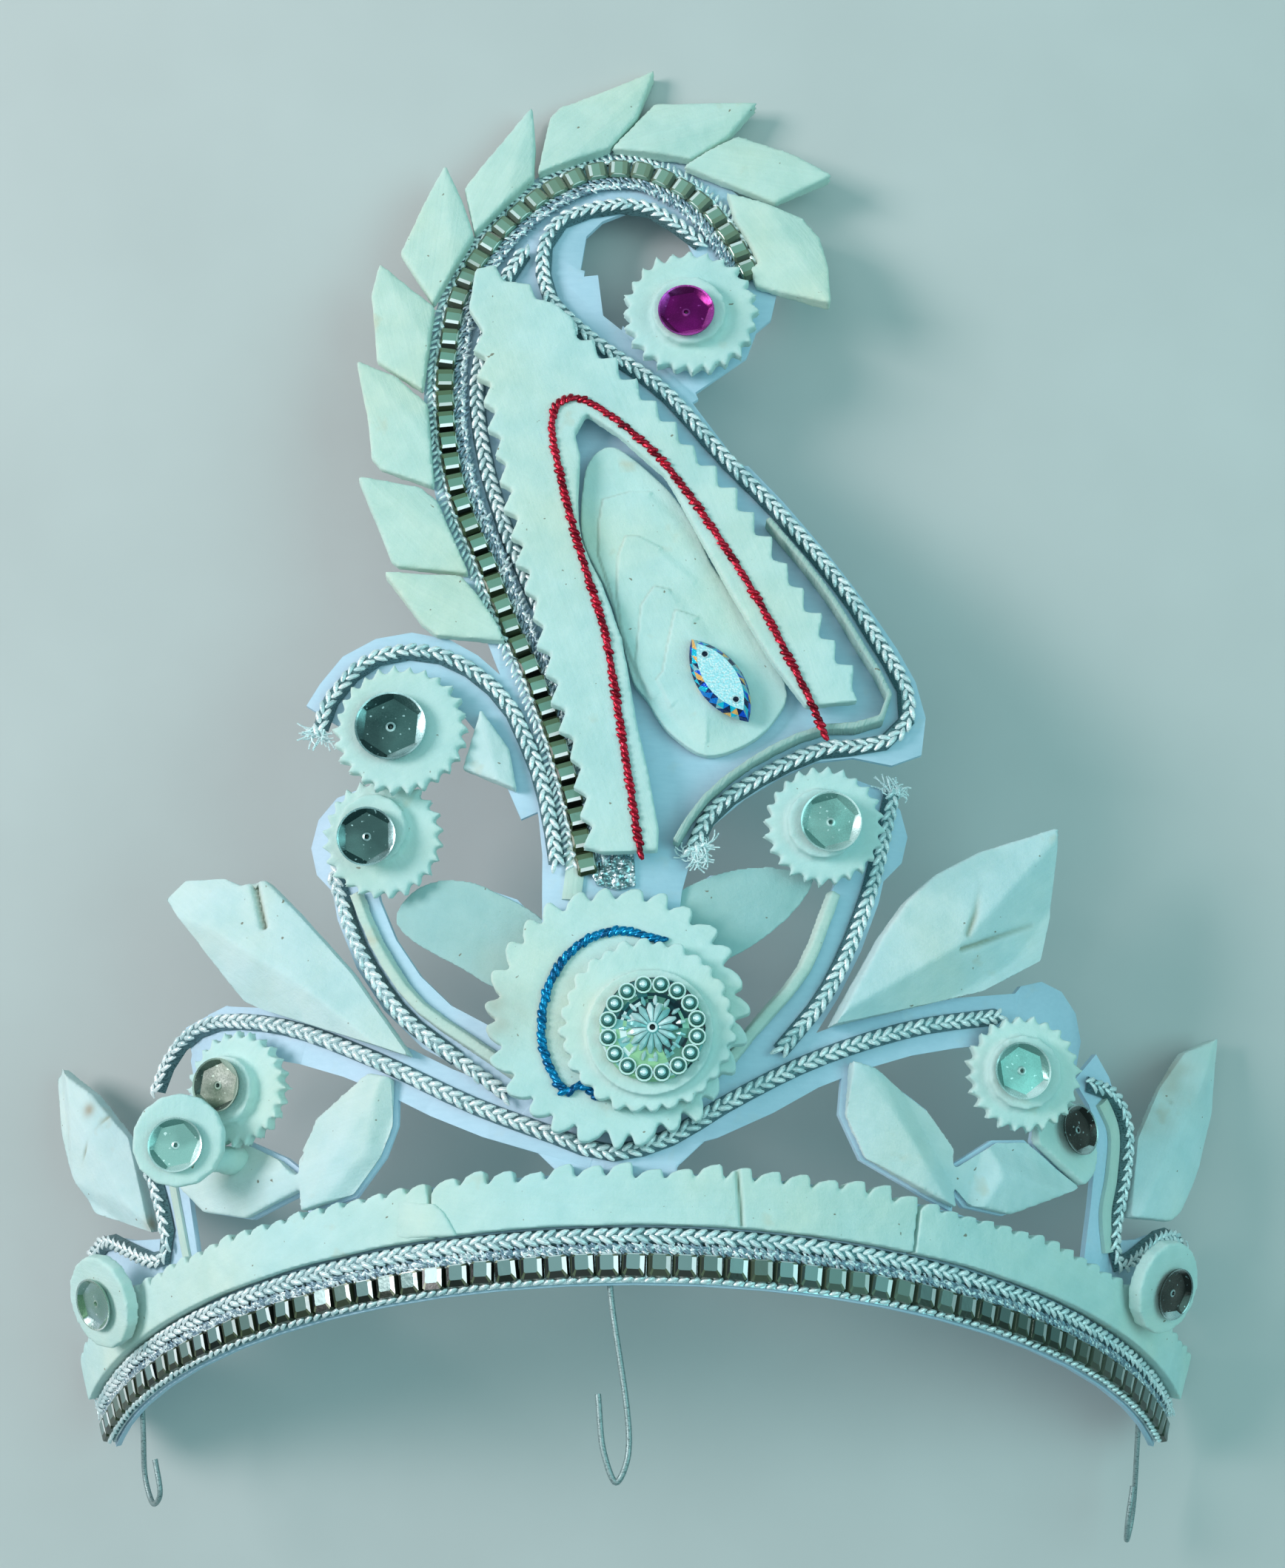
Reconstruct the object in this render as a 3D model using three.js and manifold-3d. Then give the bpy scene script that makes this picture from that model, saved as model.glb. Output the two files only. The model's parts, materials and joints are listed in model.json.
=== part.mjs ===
// Bridal crown of carved pith on cut card, lying on its back. Millimetres, +Z up.
// Pieces are laid out on the flat card: x to the right, y up from the middle of the band's lower
// edge, z off the card's front. The frame card and what lies along it are then bent round a cone.
import * as THREE from 'three';
import { mergeVertices } from 'three/addons/utils/BufferGeometryUtils.js';
import Module from 'manifold-3d';

const wasm = await Module();
wasm.setup();
const radians = THREE.MathUtils.degToRad;

// Driving sizes
const GAP = 0.3; // clearance between glued layers
const CARD = 1; // thickness of the cut card
const PITH = 3; // thickness of a cut sheet of pith
const CONE_RADIUS = 291; // along the card, from the cone's tip to the band's lower edge
const CONE_HALF_ANGLE = radians(20.5);
const REST_TILT = radians(17.26); // lean of the crown's middle when it lies on its back
const BEND_STEP = 12; // between the lines along which the card bends
const NEAR = 0.002; // closer points are one
const BAND_HALF_LENGTH = 128;
const BAND_HEIGHT = 18;
const TRIM_WIDTH = 5.8;
const TRIM_FOIL = 1.2;
const TRIM_HEIGHT = 2.6;
const STONE_WIDTH = 3.6;
const BRAID_WIDTH = 2.9;
const BRAID_HEIGHT = 1.4;
const RIB_WIDTH = 2.6;
const RIB_HEIGHT = 2;
const WIRE_RADIUS = 0.5;
const SEQUIN_HEIGHT = 1.5;
const SEQUIN_FOIL = 0.5;

// Heights on the flat paisley, whose card is glued on the front of the frame card
const PAISLEY_BACK = GAP;
const PAISLEY_FRONT = PAISLEY_BACK + CARD;
const PAISLEY_BASE = PAISLEY_FRONT + GAP;
const PANEL_BASE = PAISLEY_BASE + TRIM_HEIGHT + GAP;

const surface = (color, roughness, metalness) =>
  new THREE.MeshStandardMaterial({ color, roughness, metalness });
const CARD_WHITE = surface(0xd6e4ea, 0.9, 0);
const CREAM = surface(0xe9eedf, 0.95, 0);
const SILVER_BRAID = surface(0xb9bfc4, 0.4, 0.9);
const SILVER_FOIL = surface(0xd3d8dc, 0.25, 0.95);
const MAGENTA_FOIL = surface(0xc2267e, 0.25, 0.9);
const WIRE = surface(0x4a4744, 0.45, 0.9);
const CRYSTAL = surface(0xcfe0ea, 0.1, 0.1);

// Bending round the cone
const SIN = Math.sin(CONE_HALF_ANGLE);
const COS = Math.cos(CONE_HALF_ANGLE);

function coneFrame(x, y) {
  const reach = Math.hypot(x, CONE_RADIUS + y);
  const round = Math.atan2(x, CONE_RADIUS + y) / SIN;
  const spoke = new THREE.Vector3(Math.sin(round), Math.cos(round) * SIN, Math.cos(round) * COS);
  const along = new THREE.Vector3(0, COS * COS, -SIN * COS).addScaledVector(spoke, SIN);
  const out = new THREE.Vector3(0, -SIN * COS, SIN * SIN).addScaledVector(spoke, COS);
  const point = along.clone().multiplyScalar(reach);
  point.y -= CONE_RADIUS;
  return { point, along, out };
}

function bend(geometry) {
  const place = geometry.getAttribute('position');
  for (let i = 0; i < place.count; i += 1) {
    const { point, out } = coneFrame(place.getX(i), place.getY(i));
    point.addScaledVector(out, place.getZ(i));
    place.setXYZ(i, point.x, point.y, point.z);
  }
  return geometry;
}

// A point on the band: distance round the lower edge, height above it
function onBand(round, height) {
  const angle = round / CONE_RADIUS;
  const reach = CONE_RADIUS + height;
  return [reach * Math.sin(angle), reach * Math.cos(angle) - CONE_RADIUS];
}

// Closed meshes
function bare(geometry) {
  const copy = geometry.clone();
  copy.deleteAttribute('normal');
  copy.deleteAttribute('uv');
  return mergeVertices(copy, 1e-4);
}

function signedVolume(geometry) {
  const place = geometry.getAttribute('position');
  const corners = [0, 1, 2].map(() => new THREE.Vector3());
  let sum = 0;
  for (let i = 0; i < geometry.index.count; i += 3) {
    corners.forEach((corner, k) => corner.fromBufferAttribute(place, geometry.index.getX(i + k)));
    sum += corners[0].dot(corners[1].clone().cross(corners[2])) / 6;
  }
  return sum;
}

function toSolid(geometry) {
  const closed = bare(geometry);
  const triVerts = Uint32Array.from(closed.index.array);
  if (signedVolume(closed) < 0) triVerts.reverse();
  const vertProperties = Float32Array.from(closed.getAttribute('position').array);
  return new wasm.Manifold(new wasm.Mesh({ numProp: 3, vertProperties, triVerts }));
}

function fromSolid(solid) {
  const { vertProperties, triVerts } = solid.getMesh();
  const geometry = new THREE.BufferGeometry();
  geometry.setAttribute('position', new THREE.Float32BufferAttribute(vertProperties, 3));
  geometry.setIndex(Array.from(triVerts));
  return geometry;
}

const fuse = (...pieces) => fromSolid(pieces.map(toSolid).reduce((a, b) => a.add(b)));
const cut = (piece, tool) => fromSolid(toSolid(piece).subtract(toSolid(tool)));
const common = (piece, tool) => fromSolid(toSolid(piece).intersect(toSolid(tool)));

// One mesh from loose triangles, whose corners are joined where they nearly meet
function weld(places) {
  const corners = [];
  const index = [];
  for (let i = 0; i < places.length; i += 3) {
    const corner = new THREE.Vector3().fromArray(places, i);
    const known = corners.findIndex((other) => other.distanceToSquared(corner) < NEAR * NEAR);
    index.push(known < 0 ? corners.push(corner) - 1 : known);
  }
  const mesh = new THREE.BufferGeometry().setFromPoints(corners);
  mesh.setIndex(stitch(corners, index));
  return mesh;
}

// Splits each open edge at the corner of its neighbour that lies on it, until the mesh is closed
function stitch(corners, index) {
  for (;;) {
    const edges = new Set();
    const ends = (i) => [index[i], index[i - (i % 3) + ((i + 1) % 3)]];
    for (let i = 0; i < index.length; i += 1) edges.add(ends(i).join(' '));
    const open = index.map((_, i) => i).filter((i) => !edges.has(ends(i).reverse().join(' ')));
    const loose = open.map((i) => index[i]);
    const between = (i) => {
      const [a, b] = ends(i);
      const length = corners[a].distanceTo(corners[b]);
      const detour = (k) => corners[a].distanceTo(corners[k]) + corners[k].distanceTo(corners[b]) - length;
      return loose.find((k) => k !== a && k !== b && detour(k) < NEAR * NEAR);
    };
    const split = open.find((i) => between(i) !== undefined);
    if (split === undefined) return index;
    const [a, b] = ends(split);
    const far = index[split - (split % 3) + ((split + 2) % 3)];
    const extra = between(split);
    index.splice(split - (split % 3), 3, a, extra, far, extra, b, far);
  }
}

// Cuts a flat mesh into upright columns that stay joined, so that it can be bent between them
function score(geometry) {
  const sheet = toSolid(geometry);
  const { min, max } = new THREE.Box3().setFromBufferAttribute(geometry.getAttribute('position'));
  const places = [];
  for (let line = BEND_STEP * Math.floor(min.x / BEND_STEP); line < max.x; line += BEND_STEP) {
    const edges = [line, line + BEND_STEP];
    const column = new THREE.BoxGeometry(BEND_STEP, 3 * (max.y - min.y), 3 * (max.z - min.z));
    column.translate(line + BEND_STEP / 2, (min.y + max.y) / 2, (min.z + max.z) / 2);
    const part = fromSolid(sheet.intersect(toSolid(column))).toNonIndexed().getAttribute('position');
    for (let i = 0; i < part.count; i += 3) {
      const xs = [0, 1, 2].map((k) => part.getX(i + k));
      const inside = edges.some((edge) => xs.every((x) => Math.abs(x - edge) < NEAR));
      if (!inside) places.push(...part.array.slice(3 * i, 3 * i + 9));
    }
  }
  return weld(places);
}

// Shapes on the flat card
const flat = ([x, y]) => new THREE.Vector2(x, y);
const raised = ([x, y]) => new THREE.Vector3(x, y, 0);

function slab(points, low, high) {
  const shape = new THREE.Shape(points.map(flat));
  const block = new THREE.ExtrudeGeometry(shape, { depth: high - low, bevelEnabled: false });
  return block.translate(0, 0, low);
}

function loop(points, count) {
  const curve = new THREE.CatmullRomCurve3(points.map(raised), true, 'centripetal');
  return curve.getSpacedPoints(count).slice(0, -1).map((p) => [p.x, p.y]);
}

function circle(x, y, radius, sides) {
  const angles = Array.from({ length: sides }, (_, i) => (2 * Math.PI * i) / sides);
  return angles.map((a) => [x + radius * Math.cos(a), y + radius * Math.sin(a)]);
}

// A strip swept along a route; its section has columns side, height
function sweep(route, section, step) {
  const path = new THREE.CatmullRomCurve3(route.map(raised), false, 'centripetal');
  const profile = new THREE.Shape(section.map(([side, height]) => new THREE.Vector2(-height, side)));
  const steps = Math.ceil(path.getLength() / step);
  return new THREE.ExtrudeGeometry(profile, { steps, bevelEnabled: false, extrudePath: path });
}

const strap = (width, low, high) => [
  [-width / 2, low],
  [width / 2, low],
  [width / 2, high],
  [-width / 2, high],
];
const crowned = (width, low, high) => [
  [-width / 2, low],
  [width / 2, low],
  [0.3 * width, high],
  [-0.3 * width, high],
];
const trimSection = (low) => [
  [-TRIM_WIDTH / 2, low],
  [TRIM_WIDTH / 2, low],
  [TRIM_WIDTH / 2, low + TRIM_FOIL],
  [STONE_WIDTH / 2, low + TRIM_FOIL],
  [0.4 * STONE_WIDTH, low + TRIM_HEIGHT],
  [-0.4 * STONE_WIDTH, low + TRIM_HEIGHT],
  [-STONE_WIDTH / 2, low + TRIM_FOIL],
  [-TRIM_WIDTH / 2, low + TRIM_FOIL],
];
const braid = (route, low, step = 6) =>
  sweep(route, crowned(BRAID_WIDTH, low, low + BRAID_HEIGHT), step);

// Hand-cut unevenness, the same each time
const uneven = (i, seed) => Math.sin(2.4 * i + 1.7 * seed) + Math.sin(1.1 * i + seed);

// Saw teeth along a route, on its left side; each tooth rises slowly and drops at once
function teeth(route, pitch, depth, seed) {
  const path = new THREE.CatmullRomCurve3(route.map(raised), false, 'centripetal');
  const count = Math.round(path.getLength() / pitch);
  const points = [];
  for (let i = 0; i < count; i += 1) {
    const along = path.getTangentAt((i + 0.5) / count);
    const left = new THREE.Vector3(-along.y, along.x, 0);
    const tip = path.getPointAt((i + 0.2) / count);
    tip.addScaledVector(left, depth * (1 + 0.12 * uneven(i, seed)));
    const root = path.getPointAt((i + 0.85) / count);
    points.push([tip.x, tip.y], [root.x, root.y]);
  }
  return points;
}

function toothedCircle(radius, count, depth, seed) {
  const points = [];
  for (let i = 0; i < count; i += 1) {
    const start = (2 * Math.PI * i) / count;
    const outer = radius * (1 + 0.012 * uneven(i, seed));
    const end = start + (0.75 * 2 * Math.PI) / count;
    points.push([outer * Math.cos(start), outer * Math.sin(start)]);
    points.push([(radius - depth) * Math.cos(end), (radius - depth) * Math.sin(end)]);
  }
  return points;
}

// A leaf cut to a roof: highest along its spine, lower at its edges
function ridged(points, spine, edgeHeight, ridgeHeight, halfWidth) {
  const [from, to] = spine.map(flat);
  const run = to.clone().sub(from);
  const house = new THREE.Shape();
  house.moveTo(-halfWidth, 0);
  house.lineTo(halfWidth, 0);
  house.lineTo(halfWidth, edgeHeight);
  house.lineTo(0, ridgeHeight);
  house.lineTo(-halfWidth, edgeHeight);
  const reach = 3 * run.length();
  const roof = new THREE.ExtrudeGeometry(house, { depth: reach, bevelEnabled: false });
  roof.translate(0, 0, -reach / 2).rotateX(Math.PI / 2);
  roof.rotateZ(run.angle() - Math.PI / 2);
  roof.translate((from.x + to.x) / 2, (from.y + to.y) / 2, 0);
  return common(slab(points, 0, ridgeHeight), roof);
}

// The scene graph
const crown = new THREE.Group();
const paisley = new THREE.Group();
crown.add(paisley);

function add(name, geometry, material, parent = crown) {
  const mesh = new THREE.Mesh(geometry, material);
  mesh.name = name;
  parent.add(mesh);
}

// A place on the bent card, turned about its upright and leaned about its level line
function seat(x, y, height, turn = 0, lean = 0) {
  const { point, along, out } = coneFrame(x, y);
  const across = along.clone().cross(out);
  const place = new THREE.Group();
  place.position.copy(point).addScaledVector(out, height);
  place.quaternion.setFromRotationMatrix(new THREE.Matrix4().makeBasis(across, along, out));
  place.rotateY(radians(turn));
  place.rotateX(radians(lean));
  crown.add(place);
  return place;
}

// Routes on the frame card
const LOWER_ROUTE = [
  [-94, 36.5], [-91, 41], [-86, 45], [-79, 47], [-63.5, 45], [-46, 38.5], [-27, 29.5], [-14, 24.5],
  [-4, 21.2], [5.5, 23.5], [15.5, 29.5], [30, 37], [48.5, 43.5], [66, 47],
];
const UPPER_LEFT_ROUTE = [[-53.5, 71], [-48.6, 58], [-40, 45.5], [-30, 37.5]];
const UPPER_RIGHT_ROUTE = [[46, 85], [41, 66.5], [33, 49], [24.6, 38.5]];
const SIDE_LEFT_ROUTE = [
  [-97.4, 24.5], [-92.5, 13.3], [-91.5, 7.8], [-95, 6.2], [-106.5, 8.7], [-114, 10.3], [-121, 8],
];
const SIDE_RIGHT_ROUTE = [
  [88, 37], [94.5, 35.6], [98.6, 31], [99, 24], [95.5, 9], [97.5, 5.6], [104, 7.5], [112, 10.8],
  [120, 11], [125, 7.5],
];
const RIB_ROUTE = [
  [-49, 67], [-45.2, 58.5], [-37.5, 47.5], [-26, 39], [-16, 32.5], [-8, 31], [6, 31], [14, 35],
  [20.5, 42.5], [28.5, 52], [34.5, 66],
];
const LOWER_LEFT_ARM = [[-86, 43], [-79, 45.5], [-63, 43.4], [-46, 38.2], [-27, 29.4], [-6, 23]];
const LOWER_RIGHT_ARM = [[-6, 23], [15.5, 29], [30, 36.8], [48.5, 43.4], [76, 48]];
const UPPER_LEFT_ARM = [[-51.5, 82], [-50.4, 69], [-45.4, 56.4], [-35, 44], [-18, 35]];
const UPPER_RIGHT_ARM = [[43, 84], [39.5, 68], [33, 53], [24, 40], [12, 33]];
const SIDE_LEFT_ARM = [[-92, 28], [-91, 20], [-87.5, 4]];
const SIDE_LEFT_END = [[-88, 6], [-104, 6], [-118, 6], [-124, -2]];
const SIDE_RIGHT_ARM = [[88, 40], [94, 33], [94.5, 22], [91.5, 4]];
const SIDE_RIGHT_END = [[90, 6], [104, 6], [118, 7], [125, -2]];
const ARM_WIDTH = 8.6;
const SIDE_ARM_WIDTH = 8;

// Card pads under the discs and the rosette; columns x, y, radius
const PADS = [
  [-2, 42, 18], [-49, 76.5, 10], [39.4, 77.5, 9.6], [-77, 41, 9], [77, 44.5, 9.8], [-86, 28, 7],
  [82, 26, 8],
];

// Leaves on their card backings; columns are outline points about the leaf's own seat
const LEAVES = {
  pairLeftOuter: [[-14.5, 3], [-9, 7], [0, 9], [9, 5.5], [16, 0.8], [2, -4], [-8, -2.5]],
  pairLeftInner: [[-8, -9.5], [-9.5, -1], [-6, 6], [4, 13], [8, 12], [8, 4], [6, -1], [1, -7]],
  pairRightInner: [
    [-10.5, 14], [-6.5, 13], [4, 6.5], [9, 0.5], [8.5, -9.5], [3.5, -7.5], [-8, -2], [-11.5, 5],
  ],
  pairRightOuter: [[-16, 2], [-5, 8], [2, 8.5], [14, 1.5], [-3, -4], [-11, -3]],
};
const LEAF_SEATS = {
  pairLeftOuter: [-72, 16.5],
  pairLeftInner: [-49, 22.5],
  pairRightInner: [47, 23],
  pairRightOuter: [70, 17],
};
const HUB_LEAF_LEFT = [
  [-40.5, 60], [-35, 66], [-28, 67.5], [-20, 64.5], [-12, 56], [-18, 48], [-32.5, 55.5],
];
const HUB_LEAF_RIGHT = [[30, 68], [22, 69.5], [13, 68.5], [5, 62], [9, 52], [17.5, 55.5], [26, 62]];

function backing(name) {
  const [x, y] = LEAF_SEATS[name];
  return LEAVES[name].map(([u, v]) => [x + 1.06 * u, y + 1.06 * v]);
}

function frameCard() {
  const band = [];
  const columns = 24;
  for (let i = 0; i <= columns; i += 1) {
    band.push(onBand(BAND_HALF_LENGTH * ((2 * i) / columns - 1), 0));
  }
  for (let i = columns; i >= 0; i -= 1) {
    band.push(onBand(BAND_HALF_LENGTH * ((2 * i) / columns - 1), BAND_HEIGHT));
  }
  const arms = [LOWER_LEFT_ARM, LOWER_RIGHT_ARM, UPPER_LEFT_ARM, UPPER_RIGHT_ARM];
  const sides = [SIDE_LEFT_ARM, SIDE_LEFT_END, SIDE_RIGHT_ARM, SIDE_RIGHT_END];
  const pieces = [slab(band, -CARD, 0)];
  arms.forEach((route) => pieces.push(sweep(route, strap(ARM_WIDTH, -CARD, 0), 10)));
  sides.forEach((route) => pieces.push(sweep(route, strap(SIDE_ARM_WIDTH, -CARD, 0), 6)));
  PADS.forEach(([x, y, radius]) => pieces.push(slab(circle(x, y, radius, 12), -CARD, 0)));
  Object.keys(LEAVES).forEach((name) => pieces.push(slab(backing(name), -CARD, 0)));
  [HUB_LEAF_LEFT, HUB_LEAF_RIGHT].forEach((leaf) => pieces.push(slab(leaf, -CARD, 0)));
  return bend(score(fuse(...pieces)));
}

add('frame_card', frameCard(), CARD_WHITE);

// Toothed pith strips along the band; columns name, start, end, tooth pitch, tooth depth
const PITH_FOOT = 9.4;
const PITH_TOP = 16.4;
const STRIPS = [
  ['band_pith_left', -127, -31.7, 3.6, 2],
  ['band_pith_centre', -31.3, 45, 4.6, 3],
  ['band_pith_right', 45.4, 127, 3.6, 2],
];

function bandStrip(start, end, pitch, depth, seed) {
  const count = Math.round((end - start) / pitch);
  const points = [];
  for (let i = 0; i <= count; i += 1) points.push(onBand(start + ((end - start) * i) / count, PITH_FOOT));
  for (let i = count; i > 0; i -= 1) {
    const right = start + ((end - start) * i) / count;
    const tip = PITH_TOP + depth * (1 + 0.1 * uneven(i, seed));
    points.push(onBand(right, PITH_TOP));
    points.push(onBand(right - 0.15 * pitch, tip));
  }
  points.push(onBand(start, PITH_TOP));
  return bend(score(slab(points, GAP, GAP + PITH)));
}

STRIPS.forEach(([name, start, end, pitch, depth], i) =>
  add(name, bandStrip(start, end, pitch, depth, i), CREAM));

function bandRoute(height, halfLength, count) {
  const ends = Array.from({ length: count + 1 }, (_, i) => halfLength * ((2 * i) / count - 1));
  return ends.map((round) => onBand(round, height));
}

const TRIM_MIDDLE = 3.2;
const BAND_BRAID_MIDDLE = 7.7;
add('band_trim', bend(sweep(bandRoute(TRIM_MIDDLE, 126, 16), trimSection(GAP), 10)), SILVER_FOIL);
add('band_braid', bend(braid(bandRoute(BAND_BRAID_MIDDLE, 127, 16), GAP, 8)), SILVER_BRAID);

// Braids and ribs on the scrolls
const SCROLL_BRAIDS = {
  braid_lower: LOWER_ROUTE,
  braid_upper_left: UPPER_LEFT_ROUTE,
  braid_upper_right: UPPER_RIGHT_ROUTE,
  braid_side_left: SIDE_LEFT_ROUTE,
  braid_side_right: SIDE_RIGHT_ROUTE,
};
Object.entries(SCROLL_BRAIDS).forEach(([name, route]) =>
  add(name, bend(braid(route, GAP, 5)), SILVER_BRAID));
add('scroll_rib', bend(sweep(RIB_ROUTE, crowned(RIB_WIDTH, GAP, GAP + RIB_HEIGHT), 5)), CREAM);

// Wire hooks behind the band's lower edge; columns x, y
const HOOKS = {
  hook_left: [[-109, -16], [-110.6, -25], [-112, -33], [-109, -37], [-104.5, -35], [-105.5, -29]],
  hook_centre: [[-4.2, 8], [-3.8, -1], [-0.8, -26], [-2.8, -30.5], [-4.8, -26], [-5.8, -17]],
  hook_right: [[116, -17], [119, -29], [123, -42], [121.4, -45], [119.6, -42], [119.4, -35]],
};
function hook(route) {
  const section = circle(0, -CARD - GAP - WIRE_RADIUS, WIRE_RADIUS, 6);
  return bend(sweep(route, section, 4.5));
}
Object.entries(HOOKS).forEach(([name, route]) => add(name, hook(route), WIRE));

// Leaves and buds
function leafPair(outer, inner) {
  const lift = ([u, v], name) => [LEAF_SEATS[name][0] + u, LEAF_SEATS[name][1] + v];
  const pieces = [outer, inner].map((name) => {
    const points = LEAVES[name].map((p) => lift(p, name));
    return ridged(points, [points[0], points[Math.floor(points.length / 2)]], 1.6, PITH, 9);
  });
  return bend(score(fuse(...pieces)).translate(0, 0, GAP));
}
add('leaf_pair_left', leafPair('pairLeftOuter', 'pairLeftInner'), CREAM);
add('leaf_pair_right', leafPair('pairRightOuter', 'pairRightInner'), CREAM);

// Stiff leaves; columns name, seat x, seat y, height, turn, lean, outline, spine ends,
// edge height, ridge height, half width of the roof
const STIFF_LEAVES = [
  ['bud_left', -52.4, 48, 1.5, 8, 0,
    [[13.5, -12.5], [-13, 1.5], [-16, 3.5], [-22.5, 15], [-27.6, 24], [-24, 26.8], [-16.5, 25.4],
      [-13.4, 23.4], [-9, 23.6], [-4, 17], [5, 3.5]], [[13.5, -12.5], [-16, 14]], 3, 6, 16],
  ['bud_right', 52.4, 50, 1.5, -8, 0,
    [[-18.5, -10.3], [-11.6, 7], [-7.8, 14], [-3, 20], [4.5, 25.8], [18.6, 33.4], [19.8, 17.6],
      [18.8, 9.4], [8.6, 1.8]], [[-18.5, -10.3], [18.6, 18]], 3, 6, 16],
  ['outer_leaf_left', -103.3, 17.6, 1.2, 18, 0,
    [[5.6, -8.8], [-4, -2.5], [-12, 3], [-12.5, 18], [-11, 28], [-8.5, 29], [-2, 21], [4, 10]],
    [[4, -6], [-9.5, 29]], 2, 4, 9],
  ['outer_leaf_right', 105, 18, 1.8, -22, 0,
    [[-5, -6], [5, -3], [9.5, 3], [10, 20], [6.5, 34], [0.5, 28.5], [-3, 20], [-5.5, 9]],
    [[-4, -6], [7, 33]], 2, 4, 9],
];
STIFF_LEAVES.forEach(([name, x, y, height, turn, lean, outline, spine, edge, ridge, halfWidth]) =>
  add(name, ridged(outline, spine, edge, ridge, halfWidth), CREAM, seat(x, y, height, turn, lean)));

// Discs with their sequins
const disc = (radius, low, high, sides = 14) => slab(circle(0, 0, radius, sides), low, high);

function cup(radius) {
  const profile = [
    [0, 0], [0.45 * radius, 0], [radius, SEQUIN_HEIGHT - SEQUIN_FOIL], [radius, SEQUIN_HEIGHT],
    [0.45 * radius, SEQUIN_FOIL], [0, SEQUIN_FOIL],
  ];
  return new THREE.LatheGeometry(profile.map(flat), 10).rotateX(Math.PI / 2);
}

const TOOTHED = 2.6;
const BOSS = 2.2;
const TOOTH_DEPTH = 1.8;
const SINK = 0.3;

function toothedDisc(radius, count, bossRadius, shiftX, shiftY, seed) {
  const wheel = slab(toothedCircle(radius, count, TOOTH_DEPTH, seed), 0, TOOTHED);
  if (!bossRadius) return wheel;
  const boss = disc(bossRadius, TOOTHED - SINK, TOOTHED + BOSS).translate(shiftX, shiftY, 0);
  return fuse(wheel, boss);
}

// Columns: name, x, y, height, turn, lean, radius, teeth, boss radius, boss x, boss y,
// sequin radius, sequin x, sequin y
const SCROLL_DISCS = [
  ['upper_left', -42.5, 75.5, 4, 12, 8, 10.8, 24, 6, -1.2, 1.6, 5, -2, 0],
  ['upper_right', 31.8, 76.8, 4, -10, 6, 10.6, 24, 6.1, -0.6, 0, 5.1, 0.6, 0],
  ['lower_left', -70, 34.4, 3.1, 8, 4, 10.2, 24, 6, -1.2, 0, 4.6, -1, 0.7],
  ['lower_right', 68.5, 36.8, 3.6, -22, 8, 10.4, 24, 6.4, -0.6, 0, 4.8, -1.6, 0],
];
const PAISLEY_DISCS = [
  ['curl', 10.6, 171.3, 3.3, 11.6, 24, 6.2, -0.4, -0.8, 5, -1, 0],
  ['paisley_scroll', -40, 92.8, 3.4, 11.8, 26, 0, 0, 0, 6, -1.6, 0],
];

function addDisc(place, name, radius, count, bossRadius, bossX, bossY, foil, foilX, foilY, seed) {
  add(`disc_${name}`, toothedDisc(radius, count, bossRadius, bossX, bossY, seed), CREAM, place);
  const top = TOOTHED + (bossRadius ? BOSS : 0) + GAP;
  const metal = name === 'curl' ? MAGENTA_FOIL : SILVER_FOIL;
  add(`sequin_${name}`, cup(foil).translate(foilX, foilY, top), metal, place);
}

SCROLL_DISCS.forEach(([name, x, y, height, turn, lean, ...sizes], i) =>
  addDisc(seat(x, y, height, turn, lean), name, ...sizes, i));
PAISLEY_DISCS.forEach(([name, x, y, height, ...sizes], i) => {
  const place = new THREE.Group();
  place.position.set(x, y, height);
  paisley.add(place);
  addDisc(place, name, ...sizes, i + 4);
});

// Plain discs at the sides, each fused with its sequin and cut away where the right leaf lies on it;
// columns: name, x, y, height, turn, lean, radius, sequin radius, sequin x, sequin y
const PLAIN = 2.6;
const PLAIN_DISCS = [
  ['disc_side_left', -74.2, 25.4, 13, 34, 8, 7.9, 4.5, -0.4, -0.8],
  ['disc_side_right', 80.8, 25.7, GAP, 0, 0, 7.9, 4.5, 0.6, 0],
  ['disc_end_left', -102.8, 0.3, 6.2, 5, 14, 8.4, 4.6, 0, 0],
  ['disc_end_right', 102.2, 2.7, 6.2, -5, 14, 8.4, 4.6, 0.8, -0.4],
];
const leafRoom = bend(slab(backing('pairRightOuter'), -CARD, 2 * PITH));
PLAIN_DISCS.forEach(([name, x, y, height, turn, lean, radius, foil, foilX, foilY]) => {
  const place = seat(x, y, height, turn, lean);
  place.updateMatrix();
  const room = leafRoom.clone().applyMatrix4(place.matrix.clone().invert());
  const sequin = cup(foil).translate(foilX, foilY, PLAIN - SEQUIN_FOIL / 2);
  add(name, cut(fuse(disc(radius, 0, PLAIN), sequin), room), CREAM, place);
});

// Rosette: a big toothed disc, a smaller one with a plain disc on it, and the moulded button
const ROSETTE = seat(-2.8, 43.5, GAP + RIB_HEIGHT + GAP);
const ROSETTE_THICK = 3;
const BOSS_SHIFT = [5.2, -2.6];
const BUTTON_RADIUS = 8.9;
const BUTTON_DOMES = 16;
const ROSETTE_BOSS_BASE = ROSETTE_THICK + GAP;
const BUTTON_BASE = ROSETTE_BOSS_BASE + TOOTHED + 1.6 + GAP;
add('rosette_disc', slab(toothedCircle(22, 30, 2.6, 7), 0, ROSETTE_THICK), CREAM, ROSETTE);

function rosetteBoss() {
  const wheel = slab(toothedCircle(14.6, 26, 2, 9), 0, TOOTHED);
  const plate = disc(10.4, TOOTHED - SINK, TOOTHED + 1.6, 24).translate(0.4, -1.4, 0);
  return fuse(wheel, plate).translate(BOSS_SHIFT[0], BOSS_SHIFT[1], ROSETTE_BOSS_BASE);
}

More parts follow.
